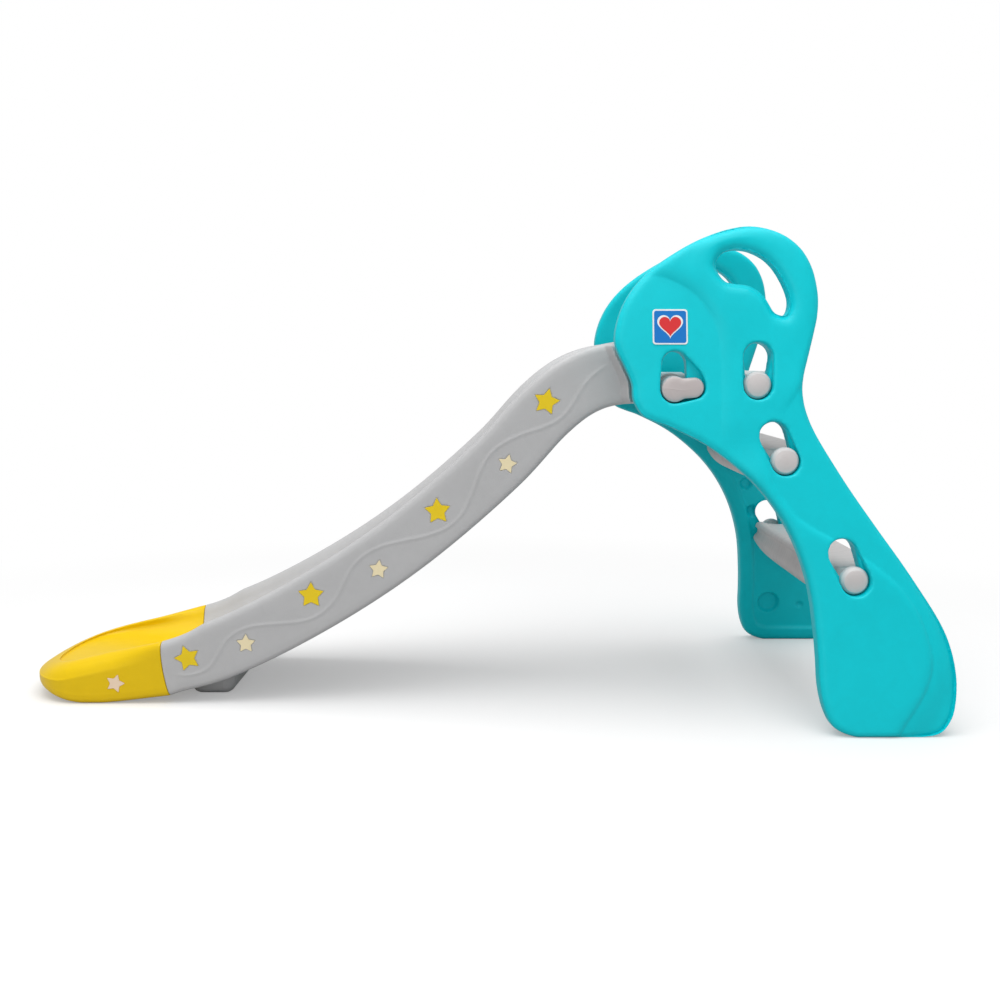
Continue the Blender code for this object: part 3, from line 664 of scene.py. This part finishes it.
# %% Path of the chute
CHUTE_EDGE = mm([
    (-776, 12), (-678, 38), (-530, 110), (-376, 210), (-222, 342), (-149, 421), (-110, 451),
    (-75, 463), (0, 465),
])
SEAM_X = PIVOT.x + CHUTE_EDGE[0][0]
SEAM_BLEND = 0.110
SEAM_BOW = 0.0035
SEAM_LEAN = 0.012
SEAM_PLACE = 0.0045
SEAM_REACH = 0.05
RIM_DROP = 0.0490
DROP_FROM = PIVOT.x - 0.066
DROP_TO = PIVOT.x - 0.020
edge_end = (chute_high.x - PIVOT.x, CHUTE_EDGE[-1][1])
path = smooth_line([*CHUTE_EDGE, edge_end], 0.001) + [PIVOT.x, 0]
path_along = np.gradient(path, axis=0)
path_along /= np.linalg.norm(path_along, axis=1)[:, None]
blend = ease((path[:, 0] - SEAM_X) / SEAM_BLEND)[:, None]
path_up = (1 - blend) * [0, 1] + blend * np.column_stack([-path_along[:, 1], path_along[:, 0]])
path_up /= np.linalg.norm(path_up, axis=1)[:, None]


def path_spacing(middle):
    near_panel = np.abs(middle[:, 0] - (PIVOT.x - 0.070)) < 0.035
    return np.where(near_panel, 0.0015, 0.0030)


def seam_shift(share, from_seam):
    """The seam leans and bows. Both pieces' points shift by this, less and less away from it."""
    left = np.clip(1 - from_seam / SEAM_REACH, 0, 1) ** 2
    return left * (SEAM_PLACE + SEAM_LEAN * (0.5 - share) - SEAM_BOW * 4 * share * (1 - share))


path_share, path_count = share_out(path, path_spacing)
print(f"{path_count:.0f} stations along the chute")

# %% [markdown]
# ## A wave, and a lip at the panels
# A raised wave runs along each side between the stars. Near the panels the side flares out into a
# rounded lip that closes the gap, so no finger gets in, but stays short of the panel for the fold.
# Both are small shifts of the side's points.

# %% The wave and the lip
WAVE = mm([
    (-768, 50), (-736, 46), (-706, 56), (-690, 76), (-677, 98), (-659, 114), (-634, 123), (-599, 127),
    (-564, 130), (-539, 137), (-519, 151), (-503, 170), (-491, 194), (-477, 218), (-456, 237),
    (-430, 249), (-397, 257), (-362, 265), (-333, 277), (-312, 296), (-299, 320), (-289, 347),
    (-278, 373), (-265, 392), (-243, 408), (-216, 420), (-189, 429), (-166, 440), (-151, 454),
    (-139, 472), (-129, 489), (-115, 506), (-96, 520), (-76, 528),
])
WAVE_HEIGHT = 0.0011
WAVE_WIDTH = 0.0021
LIP_PEAK = 0.0030
LIP_REACH = 0.013
LIP_BACK = 0.0045
LIP_CLEARANCE = 0.0027
LIP_ENDS = (0.030, 0.050)
front = outline[(outline[:, 0] < PIVOT.x) & (outline[:, 1] > 0.440) & (outline[:, 1] < 0.62)]
front = front[np.argsort(front[:, 1])]


def side_relief(x, z):
    """How far the side stands out of its plane at x and z."""
    distance, _, along = near_line(np.column_stack([x - PIVOT.x, z]), smooth_line(WAVE))
    wave = WAVE_HEIGHT * np.exp(-((distance / WAVE_WIDTH) ** 2))
    wave = wave * ease(along / 0.05) * ease((1 - along) / 0.05)
    before = np.interp(z, front[:, 1], front[:, 0]) - x
    swell = ease((LIP_REACH - before) / (LIP_REACH - LIP_PEAK))
    swell = swell - 0.22 * ease((LIP_PEAK - before) / LIP_BACK)
    swell = swell * ease((before + LIP_ENDS[1]) / (LIP_ENDS[1] - LIP_ENDS[0]))
    room = outer_face(z) - PANEL_THICK - LIP_CLEARANCE - HALF_WIDTH
    return wave + np.maximum(room, 0) * swell


def chute_rule(u, v):
    side, depth, outside = section_at(v)
    station = np.interp(u, path_share, np.arange(len(path)))
    x, z, up_x, up_z = (np.interp(station, np.arange(len(path)), line) for line in (*path.T, *path_up.T))
    drop = RIM_DROP * ease((x - DROP_FROM) / (DROP_TO - DROP_FROM))
    height = SEAM_HEIGHT + (SIDE_HEIGHT - SEAM_HEIGHT) * ease((x - SEAM_X) / SEAM_BLEND) - drop
    depth = np.where(outside, fit_height(depth, height), depth * (TROUGH_DEPTH - drop) / TROUGH_DEPTH)
    x, z = x + up_x * (height - depth), z + up_z * (height - depth)
    x = x + seam_shift(1 - depth / height, x - SEAM_X)
    near_side = outside * ease((np.abs(side) - 0.136) / 0.009) * ease((depth + 0.001) / 0.006)
    near_side = near_side * ease((height - depth + 0.004) / 0.008)
    return np.column_stack([x, side + np.sign(side) * side_relief(x, z) * near_side, z])


chute = wrapped_grid("chute_shell", round(path_count), 2 * round(section_count), chute_rule)
cap_open_ends(chute, 0.0018)
print("chute", [round(v, 3) for v in chute.dimensions])

# %% [markdown]
# ## The foot under the chute
# A rounded bar under the low end carries the child's weight to the floor. It starts as a bevelled
# cube. Its top is squeezed to end a little inside the trough's floor, and it is joined to the chute.

# %% Foot bar
FOOT_HALF = 0.095
FOOT_LONG = 0.034
FOOT_TALL = 0.066
FOOT_ROUND = 0.017
FOOT_INTO_FLOOR = 0.023
mounts = {m["name"]: m["pos_m"] for m in frame["record"]["mounts"]}
foot_x = mounts["chute_foot"][0]
deselect_all()
bpy.ops.mesh.primitive_cube_add(size=1, location=(foot_x, 0, FOOT_TALL / 2),
                                scale=(2 * FOOT_LONG, 2 * FOOT_HALF, FOOT_TALL))
bpy.ops.object.transform_apply(location=True, rotation=True, scale=True)
foot = named(bpy.context.object, "foot_bar")
with editing(foot, "EDGE"):
    bpy.ops.mesh.bevel(offset=FOOT_ROUND, segments=6, affect="EDGES", clamp_overlap=True)
foot_points = points_of(foot)
under_floor = np.interp(foot_points[:, 0], path[:, 0], path[:, 1]) + FOOT_INTO_FLOOR
foot_points[:, 2] *= under_floor / FOOT_TALL
put_points(foot, foot_points)
cut_or_join(chute, "UNION", foot)

# %% [markdown]
# ## The yellow end
# The end of the chute is the same section, bent round a blunt nose. Each point's distance in from
# the side picks one of a family of nested outlines: straight sides and a squashed half-circle. The
# crest sinks to the nose, and the trough runs out to nothing.

# %% Heights of the yellow end
NOSE_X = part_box("chute_end")[0].x
NOSE_LENGTH = 0.100
NOSE_POWER = 2.4
SHOULDER = 0.016
SHOULDER_DEEP = 0.030
NOSE_RISE = 0.026
SEAM_GAP = 0.0006
NOSE_START = NOSE_X + NOSE_LENGTH
END_SEAM_X = SEAM_X - SEAM_GAP
SEAM_LOW = CHUTE_EDGE[0][1]
crest_line = smooth_line([
    (NOSE_X, 0.0420), (-0.680, 0.0470), (-0.655, 0.0535), (-0.6205, 0.0620), (-0.580, 0.0720),
    (-0.541, 0.0810),
    (END_SEAM_X, SEAM_LOW + SEAM_HEIGHT),
])


def end_underside(x):
    """Level in the middle, rising to the seam behind and to the nose in front, like a boat's bottom."""
    rear = NOSE_START + 0.025
    rising = SEAM_LOW * np.clip((x - rear) / (SEAM_X - rear), 0, 1) ** 1.4
    turn = np.clip((NOSE_START - x) / NOSE_LENGTH, 0, 1)
    return rising + NOSE_RISE * turn**1.5


# %% Wrap the yellow end
STRAIGHT_SHARE = 0.24


def end_plan(u, inset):
    """Where a point is in plan: u goes round the nose, and inset is how far in it is from the side."""
    shrink = np.clip(1 - inset / HALF_WIDTH, 0, 1)
    turn = np.clip((u - STRAIGHT_SHARE) / (1 - 2 * STRAIGHT_SHARE), 0, 1) * math.pi - math.pi / 2
    straight = np.clip(np.minimum(u, 1 - u) / STRAIGHT_SHARE, 0, 1)
    reach = NOSE_LENGTH * shrink ** (HALF_WIDTH / NOSE_LENGTH) * np.abs(np.cos(turn)) ** (2 / NOSE_POWER)
    x = END_SEAM_X + (NOSE_START - END_SEAM_X) * straight - reach
    return x, HALF_WIDTH * shrink * np.sign(turn) * np.abs(np.sin(turn)) ** (2 / NOSE_POWER)


def end_rule(u, v):
    side, depth, outside = section_at(v / 2)
    inset = HALF_WIDTH + side
    x, _ = end_plan(u, inset)
    along = np.clip((END_SEAM_X - x) / (END_SEAM_X - NOSE_X), 0, 1)
    soft = SHOULDER * ease(along / 0.4) * np.clip(1 - depth / SHOULDER_DEEP, 0, 1) ** 2
    x, y = end_plan(u, inset + soft * (inset < HALF_WIDTH * 0.6))
    crest = np.interp(x, crest_line[:, 0], crest_line[:, 1])
    low = end_underside(x)
    dish = depth * (1 - along) ** 0.9
    z = np.where(outside, crest - fit_height(depth, crest - low), crest - dish)
    share = np.clip((z - low) / (crest - low), 0, 1)
    return np.column_stack([x + seam_shift(share, END_SEAM_X - x), y, np.maximum(z, 0.0)])


chute_end = wrapped_grid("chute_end_shell", 230, round(section_count), end_rule)
cap_open_ends(chute_end, 0.0018)
print("end", [round(v, 3) for v in chute_end.dimensions])

# %% [markdown]
# ## Inlaid stars
# Each star is a thin printed plate in a shallow recess, so a fine dark line shows round it. It starts
# as a ten-sided circle whose every other corner is pulled in. The same recipe, a little larger and
# deeper, cuts the recess.

# %% A star's solid
STAR_INNER = 0.52
STAR_GAP = 0.0007
RECESS = 0.0009


def star_corners(radius, lean):
    """The ten corners of a star round (0, 0), in x and z."""
    turn = math.pi / 2 + lean + math.pi * np.arange(10) / 5
    reach = radius * np.where(np.arange(10) % 2, STAR_INNER, 1)
    return np.column_stack([reach * np.cos(turn), reach * np.sin(turn)])


def star_solid(name, centre, radius, lean, y_from, y_to, round_off):
    deselect_all()
    bpy.ops.mesh.primitive_circle_add(vertices=10, radius=radius, fill_type="NGON")
    obj = named(bpy.context.object, name)
    x, z = (star_corners(radius, lean) + centre).T
    put_points(obj, np.column_stack([x, np.full(10, y_from), z]))
    with editing(obj):
        bpy.ops.mesh.bevel(offset=round_off, segments=4, affect="VERTICES", clamp_overlap=True)
        bpy.ops.mesh.select_all(action="SELECT")
        bpy.ops.mesh.extrude_region_move(TRANSFORM_OT_translate={"value": (0, y_to - y_from, 0)})
    return clean(obj)


# %% Where the stars are, from their CAD nodes
STAR_KINDS = {
    "large_star": (4, 0.0205, [18, 0, 4, -13], chute, STAR_YELLOW, "star_yellow"),
    "small_star": (3, 0.0150, [0, -6, -13], chute, CREAM, "star_cream"),
    "end_star": (1, 0.0150, [-18], chute_end, PINK_CREAM, "star_cream"),
}


def star_centre(node_name, radius, lean):
    """A leaning star's box isn't centred on it, so the centre is worked out from the box's low corner."""
    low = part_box(node_name)[0]
    return np.array([low.x, low.z]) - star_corners(radius, lean).min(0)


# %% Cut the recesses, then lay the stars in
star_pieces = []
for side, hand in ((-1, "right"), (1, "left")):
    for kind, (count, radius, leans, owner, finish, slot_name) in STAR_KINDS.items():
        for i in range(count):
            node_name = f"{kind}_{hand}_{i + 1}"
            lean = math.radians(leans[i])
            centre = star_centre(node_name, radius, lean)
            floor_y = side * (HALF_WIDTH - RECESS)
            above, proud = side * (HALF_WIDTH + 0.004), side * (HALF_WIDTH + 0.0003)
            cutter = star_solid("cutter", centre, radius + 2 * STAR_GAP, lean, above, floor_y, 0.0016)
            cut_or_join(owner, "DIFFERENCE", cutter)
            base = floor_y + side * 0.0001
            star = star_solid(node_name + "_inlay", centre, radius, lean, proud, base, 0.0013)
            apply_modifier(star, "BEVEL", width=0.00025, segments=2, limit_method="ANGLE")
            star_pieces.append((star, node_name, finish, slot_name))
for star, node_name, finish, slot_name in star_pieces:
    finish_piece(star, "chute", slot_name, [finish], node_name)

# %% [markdown]
# ## The pivot lugs
# A round shaft on each side of the chute passes through the panel and ends in a plate with a side
# lobe. As the chute swings down the lobe slides behind the panel: a bayonet joint. The plate is
# slightly domed, with a wavy line where the mould parted.

# %% Lug plates
SHAFT_R = 0.0193
LOBE_R = 0.0149
LOBE_OFFSET = 0.0290
LOBE_ANGLE = math.radians(4)
LUG_THICK = 0.0150
LUG_POINTS = 120
NECK_BLEND = 0.0030


def lug_reach(turn):
    """How far the plate reaches from the pivot: a disc, and a round-ended tongue beside it."""
    off = turn - LOBE_ANGLE
    across = np.maximum(np.abs(np.sin(off)), 1e-6)
    tip = LOBE_OFFSET * np.cos(off) + np.sqrt(np.maximum(LOBE_R**2 - (LOBE_OFFSET * across) ** 2, 0))
    tongue = np.where(across * LOBE_OFFSET > LOBE_R * np.cos(off), LOBE_R / across, tip)
    tongue = np.where(np.cos(off) > 0, tongue, 0)
    near = np.clip(1 - np.abs(tongue - SHAFT_R) / NECK_BLEND, 0, 1)
    return np.maximum(tongue, SHAFT_R) + near**2 * NECK_BLEND / 4


PLATE_PROFILE = [
    (0.0, 0.0), (0.55, 0.0), (0.93, 0.0), (0.985, 0.0006), (1.0, 0.0022), (1.0, 0.0060), (1.0, 0.0095),
    (1.0, 0.0122), (0.975, 0.0143), (0.92, 0.0156), (0.80, 0.0166), (0.55, 0.0176), (0.25, 0.0180),
    (0.0, 0.0181),
]


def lug_rule_for(side, back):
    profile = smooth_line(PLATE_PROFILE, 0.012)

    def rule(u, v):
        place = np.interp(v * (len(profile) - 1), np.arange(len(profile)), profile[:, 0])
        rise = np.interp(v * (len(profile) - 1), np.arange(len(profile)), profile[:, 1])
        turn = 2 * math.pi * u
        reach = lug_reach(turn)
        edge = np.minimum(reach - 0.0030 * (1 - np.clip(place, 0, 1)) * (place > 0.8), reach)
        x, z = place * edge * np.cos(turn), place * edge * np.sin(turn)
        parting = 0.00035 * np.exp(-(((z + 0.0012 * np.sin(x / 0.0065)) / 0.0005) ** 2))
        front = rise > LUG_THICK * 0.9
        return np.column_stack([PIVOT.x + x, side * (back + rise + parting * front), PIVOT.z + z])

    return rule


def cylinder_along_y(name, centre, radius, y_from, y_to, points=64):
    """A cylinder primitive laid across the slide."""
    deselect_all()
    bpy.ops.mesh.primitive_cylinder_add(vertices=points, radius=radius, depth=abs(y_to - y_from))
    obj = named(bpy.context.object, name)
    x, z, y = points_of(obj).T
    put_points(obj, np.column_stack([centre[0] + x, y + (y_from + y_to) / 2, centre[1] + z]))
    return clean(obj)


seat = min(pockets, key=lambda loop: np.hypot(*(loop.mean(0) - [PIVOT.x, PIVOT.z])))
lug_back = -pocket_floor(seat) + 0.0008
for side, hand in ((-1, "right"), (1, "left")):
    lug = wrapped_grid(f"pivot_lug_{hand}", LUG_POINTS, 26, lug_rule_for(side, lug_back))
    inside = HALF_WIDTH - 0.012
    boss_end = outer_face(PIVOT.z + 0.023) - PANEL_THICK - 0.0012
    axis = (PIVOT.x, PIVOT.z)
    boss = cylinder_along_y("boss", axis, SHAFT_R + 0.0035, side * inside, side * boss_end)
    apply_modifier(boss, "BEVEL", width=0.0012, segments=2, limit_method="ANGLE")
    shaft = cylinder_along_y("shaft", axis, SHAFT_R, side * (inside + 0.002), side * (lug_back + 0.004))
    cut_or_join(boss, "UNION", shaft)
    cut_or_join(lug, "UNION", boss)
    clean(lug)
    finish_piece(lug, "chute", "chute_grey", [WARM_GREY])

finish_piece(chute, "chute", "chute_grey", [GREY], "chute_upper")
finish_piece(chute_end, "chute", "end_yellow", [YELLOW], "chute_end")

# %% [markdown]
# ## The steps
# A step is a tray-like tread with a mushroom at each end. The tread is another wrapped grid: its top
# is dished, its edges are fat and its ends lean with the panels. The caps are turned, as on a lathe:
# a profile is spun once round the line of the two caps.

# %% Spin a profile round a line across the slide
def turned(name, centre, profile, side, steps=64):
    """profile holds (radius, y) pairs that start and end on the axis."""
    deselect_all()
    bpy.ops.mesh.primitive_circle_add(vertices=len(profile), fill_type="NOTHING")
    obj = named(bpy.context.object, name)
    put_points(obj, [(centre[0] + radius, side * y, centre[1]) for radius, y in profile])
    with editing(obj):
        bpy.ops.mesh.spin(steps=steps, angle=2 * math.pi, center=(centre[0], 0, centre[1]), axis=(0, 1, 0))
        bpy.ops.mesh.select_all(action="SELECT")
        bpy.ops.mesh.remove_doubles(threshold=MERGE)
        bpy.ops.mesh.delete_loose(use_verts=True, use_edges=True, use_faces=False)
    return clean(obj)


# %% Treads
TREAD_FRONT = 0.038
TREAD_REAR = 0.052
TREAD_TOP = 0.019
TREAD_BOTTOM = 0.036
CAP_R = 0.0200
NECK_R = 0.0120
CAP_RIM = 0.0130
CAP_DOME = 0.0045
TREAD_SECTION = mm([
    (-36.8, 10.5), (-34.5, 16.8), (-29, 19), (-22, 18), (-14, 16), (0, 14.6), (14, 14.6), (28, 16),
    (36, 18), (43, 19), (49, 16.5), (52, 8), (52, -10), (50, -24), (43, -33), (30, -36), (0, -36),
    (-20, -36), (-31, -33.5), (-37, -26), (-38, -16), (-34.5, -6), (-32.5, 0.5), (-32.5, 6.5),
])
END_ROUND = 0.0060
LIP_DEEP = 0.0060
LIP_GROOVE = 0.0022
GROOVE_WIDTH = 0.0013
APRON_RISE = 0.0170


def tread_rule_for(seat):
    section = smooth_line(TREAD_SECTION, 0.0015, True)
    section = np.vstack([section, section[:1]])
    middle = np.array([(TREAD_REAR - TREAD_FRONT) / 2, (TREAD_TOP - TREAD_BOTTOM) / 2])

    def reach(z):
        groove = LIP_GROOVE * np.exp(-(((z - TREAD_TOP + LIP_DEEP) / GROOVE_WIDTH) ** 2))
        return outer_face(seat[1] + z) - PANEL_THICK - 0.0003 - groove

    def rule(u, v):
        place = v * (len(section) - 1)
        x, z = (np.interp(place, np.arange(len(section)), section[:, i]) for i in (0, 1))
        across = np.sin((u - 0.5) * math.pi)
        from_end = (1 - np.abs(across)) * reach(z)
        inset = END_ROUND * (1 - np.sqrt(1 - (1 - np.clip(from_end / END_ROUND, 0, 1)) ** 2))
        to_middle = middle - np.stack([x, z], 1)
        length = np.linalg.norm(to_middle, axis=1)
        x, z = x + to_middle[:, 0] / length * inset, z + to_middle[:, 1] / length * inset
        half = reach(z)
        z = z + APRON_RISE * np.clip(-z / TREAD_BOTTOM, 0, 1) * np.abs(across) ** 5
        return np.column_stack([seat[0] + x, across * half, seat[1] + z])

    return rule


# %% Build the three steps
CAP_EDGE = 0.0012
CAP_SIDE = [(1.0, 0.60), (0.985, 0.78), (0.93, 0.92)]
NECK_INSIDE = 0.04
for name in ("step_upper", "step_middle", "step_lower"):
    low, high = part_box(name)
    seat = (low.x + TREAD_FRONT, low.z + TREAD_BOTTOM)
    step = wrapped_grid(name + "_tread", 150, 120, tread_rule_for(seat))
    cap_open_ends(step, 0)
    rim = high.y - CAP_DOME
    floor = rim - CAP_RIM
    profile = [(0, floor - NECK_INSIDE), (NECK_R, floor - NECK_INSIDE), (NECK_R, floor)]
    profile += [(CAP_R - CAP_EDGE, floor), (CAP_R, floor + CAP_EDGE)]
    profile += [(CAP_R * r, floor + CAP_EDGE + (rim - 0.001 - floor) * t) for r, t in CAP_SIDE]
    profile += [(CAP_R * math.cos(a), rim - 0.0002 + (CAP_DOME + 0.0002) * math.sin(a))
                for a in (0.62, 0.80, 1.0, 1.2, 1.4)]
    profile += [(0, high.y)]
    for side in (-1, 1):
        cut_or_join(step, "UNION", turned("cap", seat, profile, side))
    clean(step)
    finish_piece(step, "ladder", "tread_grey", [TREAD_GREY], name)

# %% [markdown]
# ## The labels
# A printed label sits on each panel: a white square with round corners, a blue field and a plain
# heart. The print is a stack of very thin layers, built upright and leaned over with the face.

# %% Layers of the label
LABEL_SIZE = 0.051
LABEL_THICK = 0.0008
LAYER = 0.00015


def paint(name, colour, roughness=0.28):
    return plastic(name, colour, roughness, variation=0.03, peel=0.2, scuffs=0.15)


LABEL_INKS = [paint("label_white", (0.86, 0.88, 0.90)), paint("label_blue", (0.0, 0.185, 0.60)),
              paint("label_white_ink", (0.88, 0.88, 0.88)), paint("label_red", (0.72, 0.030, 0.035))]


def rounded_square(size, radius, steps=6):
    corners = []
    for turn in np.arange(4) * math.pi / 2:
        middle = turn + math.pi / 4
        centre = (size / 2 - radius) * math.sqrt(2) * np.array([math.cos(middle), math.sin(middle)])
        angles = turn + np.linspace(0, math.pi / 2, steps + 1)
        corners.append(centre + radius * np.column_stack([np.cos(angles), np.sin(angles)]))
    return np.vstack(corners)


def heart(size, points=72):
    t = np.linspace(0, 2 * math.pi, points, endpoint=False)
    x = 16 * np.sin(t) ** 3
    z = 13 * np.cos(t) - 5 * np.cos(2 * t) - 2 * np.cos(3 * t) - np.cos(4 * t) + 2.5
    return anticlockwise(np.column_stack([x, z]) * size / 32)


LAYERS = [rounded_square(LABEL_SIZE, 0.0045), rounded_square(LABEL_SIZE - 0.0045, 0.0032),
          heart(0.0375), heart(0.0320)]

# %% Build the labels
label_low, label_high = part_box("label_right")
label_centre = np.array([(label_low.x + label_high.x) / 2, (label_low.z + label_high.z) / 2])


def relief_at(place):
    """How far the sculpted face stands out of the CAD's flat one near a place, in x and z."""
    near = np.linalg.norm(panel_points[:, [0, 2]] - place, axis=1) < 0.034
    return float((outer_relief[near & (facing > 0.9)]).max())


print("label stands on relief of", round(relief_at(label_centre) * 1000, 2), "mm")
for side, hand in ((-1, "right"), (1, "left")):
    layers = []
    for i, loop in enumerate(LAYERS):
        base = relief_at(label_centre) + 0.0002 + (LABEL_THICK + (i - 1) * LAYER if i else 0)
        thick = LAYER if i else LABEL_THICK
        layer = prism(f"layer_{i}", loop + label_centre, base, base + thick)
        apply_modifier(layer, "BEVEL", width=0.00005 if i else 0.0003, segments=2, limit_method="ANGLE")
        x, y, z = points_of(layer).T
        put_points(layer, np.column_stack([x, side * (outer_face(z) + y), z]))
        layer.data.materials.append(LABEL_INKS[i])
        layers.append(layer)
    pick(layers[0])
    for layer in layers[1:]:
        layer.select_set(True)
    bpy.ops.object.join()
    label = named(clean(bpy.context.object), f"label_print_{hand}")
    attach(label, "ladder")
    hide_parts(f"label_{hand}")

# %% [markdown]
# ## The screws
# Four pan-head screws hold the yellow end to the chute's tongue from below. Each is a cylinder with
# a bevelled head, and a six-sided socket cut into it.

# %% Steel
def brushed_steel():
    made = new_material("screw_steel")
    tree = made.node_tree
    grain = noise(tree, object_place(tree), Scale=900.0, Detail=4.0)
    bright = node(tree, "MapRange", {"Value": grain, "To Min": 0.7, "To Max": 1.15})
    rough = node(tree, "MapRange", {"Value": grain, "To Min": 0.22, "To Max": 0.48})
    shade = node(tree, "HueSaturation", {"Color": (0.58, 0.58, 0.60, 1), "Value": bright.outputs[0]})
    feed(tree, tree.nodes["Principled BSDF"], {
        "Metallic": 1.0, "Base Color": shade.outputs[0], "Roughness": rough.outputs[0],
    })
    return made


STEEL = brushed_steel()

# %% Screws in their holes
HEAD_R = 0.0050
HEAD_TALL = 0.0035
SOCKET_R = 0.0022
SOCKET_DEEP = 0.0018
SHANK_R = 0.0024


def upright_cylinder(name, centre, radius, low, high, points):
    deselect_all()
    bpy.ops.mesh.primitive_cylinder_add(vertices=points, radius=radius, depth=high - low,
                                        location=(*centre, (low + high) / 2))
    bpy.ops.object.transform_apply(location=True, rotation=True, scale=True)
    return clean(named(bpy.context.object, name))


for number in range(1, 5):
    low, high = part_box(f"chute_screw_{number}")
    centre = ((low.x + high.x) / 2, (low.y + high.y) / 2)
    seat_z = low.z + HEAD_TALL
    hole = upright_cylinder("screw_hole", centre, HEAD_R + 0.0004, -0.01, seat_z + 0.0002, 40)
    cut_or_join(chute_end, "DIFFERENCE", hole)
    screw = upright_cylinder(f"chute_screw_head_{number}", centre, HEAD_R, low.z, seat_z, 40)
    apply_modifier(screw, "BEVEL", width=0.0009, segments=4, limit_method="ANGLE")
    socket = upright_cylinder("socket", centre, SOCKET_R, low.z - 0.001, low.z + SOCKET_DEEP, 6)
    cut_or_join(screw, "DIFFERENCE", socket)
    shank = upright_cylinder("shank", centre, SHANK_R, seat_z - 0.0005, high.z, 24)
    cut_or_join(screw, "UNION", shank)
    finish_piece(clean(screw), "chute", "screw_steel", [STEEL], f"chute_screw_{number}")
clean(chute_end)

# %% [markdown]
# ## Studio
# The slide stands on a white floor under one large soft light overhead, with a weak one in front,
# and a white world fills the shadows. Further out the floor turns into plain white, as a paper sweep
# does, and the light that it throws back is kept down so that the sides have shape.

# %% Floor
FLOOR_SEEN = 0.92
FLOOR_BOUNCE = 0.50
SWEEP_FROM = 0.8
SWEEP_TO = 1.7
SWEEP_LEAST = 0.30
deselect_all()
bpy.ops.mesh.primitive_plane_add(size=60)
floor = named(bpy.context.object, "studio_floor")
floor_paint = new_material("floor_paint")
tree = floor_paint.node_tree
camera_ray = node(tree, "LightPath").outputs["Is Camera Ray"]
shade = node(tree, "MapRange", {"Value": camera_ray, "To Min": FLOOR_BOUNCE, "To Max": FLOOR_SEEN})
painted = feed(tree, tree.nodes["Principled BSDF"], {
    "Roughness": 0.8, "Specular IOR Level": 0.1, "Base Color": shade.outputs[0],
})
away = node(tree, "VectorMath", {0: object_place(tree)}, operation="LENGTH").outputs["Value"]
limits = {"From Min": SWEEP_FROM, "From Max": SWEEP_TO, "To Min": SWEEP_LEAST}
sweep = node(tree, "MapRange", {"Value": away, **limits}, interpolation_type="SMOOTHSTEP")
seen_sweep = sums(tree, "MULTIPLY", sweep.outputs[0], camera_ray)
paper = node(tree, "Emission", {"Color": (1, 1, 1, 1), "Strength": 1.0}).outputs[0]
mix = node(tree, "MixShader", {0: seen_sweep, 1: painted.outputs[0], 2: paper})
feed(tree, tree.nodes["Material Output"], {"Surface": mix.outputs[0]})
floor.data.materials.append(floor_paint)

# %% World and lights
WORLD_FILL = 0.50
world = bpy.data.worlds.new("studio")
bpy.context.scene.world = world
world.use_nodes = True
sky = world.node_tree
sky.nodes.clear()
fill = node(sky, "Background", {"Color": (1, 1, 1, 1), "Strength": WORLD_FILL}).outputs[0]
seen = node(sky, "Background", {"Color": (1, 1, 1, 1), "Strength": 1.0}).outputs[0]
camera_ray = node(sky, "LightPath").outputs["Is Camera Ray"]
mix = node(sky, "MixShader", {0: camera_ray, 1: fill, 2: seen})
node(sky, "OutputWorld", {"Surface": mix.outputs[0]})


def area_light(name, place, target, size, power):
    deselect_all()
    bpy.ops.object.light_add(type="AREA", location=place)
    lamp = bpy.context.object
    lamp.name = name
    lamp.data.shape = "SQUARE"
    lamp.data.size = size
    lamp.data.energy = power
    lamp.rotation_euler = (Vector(target) - Vector(place)).to_track_quat("-Z", "Y").to_euler()
    return lamp


area_light("key", (-0.1, -0.6, 3.2), (0.05, 0, 0.3), 3.6, 104)
area_light("front_fill", (-0.9, -3.4, 1.5), (0, 0, 0.3), 2.0, 14)

# %% Camera
EYE = (0.0505, -1.892, 0.5273)
DOWNWARD = 0.1187
bpy.ops.object.camera_add(location=EYE, rotation=(math.pi / 2 - DOWNWARD, 0, 0))
camera = bpy.context.object
camera.data.lens = 41.65
camera.data.sensor_width = 36
bpy.context.scene.camera = camera
bpy.context.scene.view_settings.view_transform = "Standard"
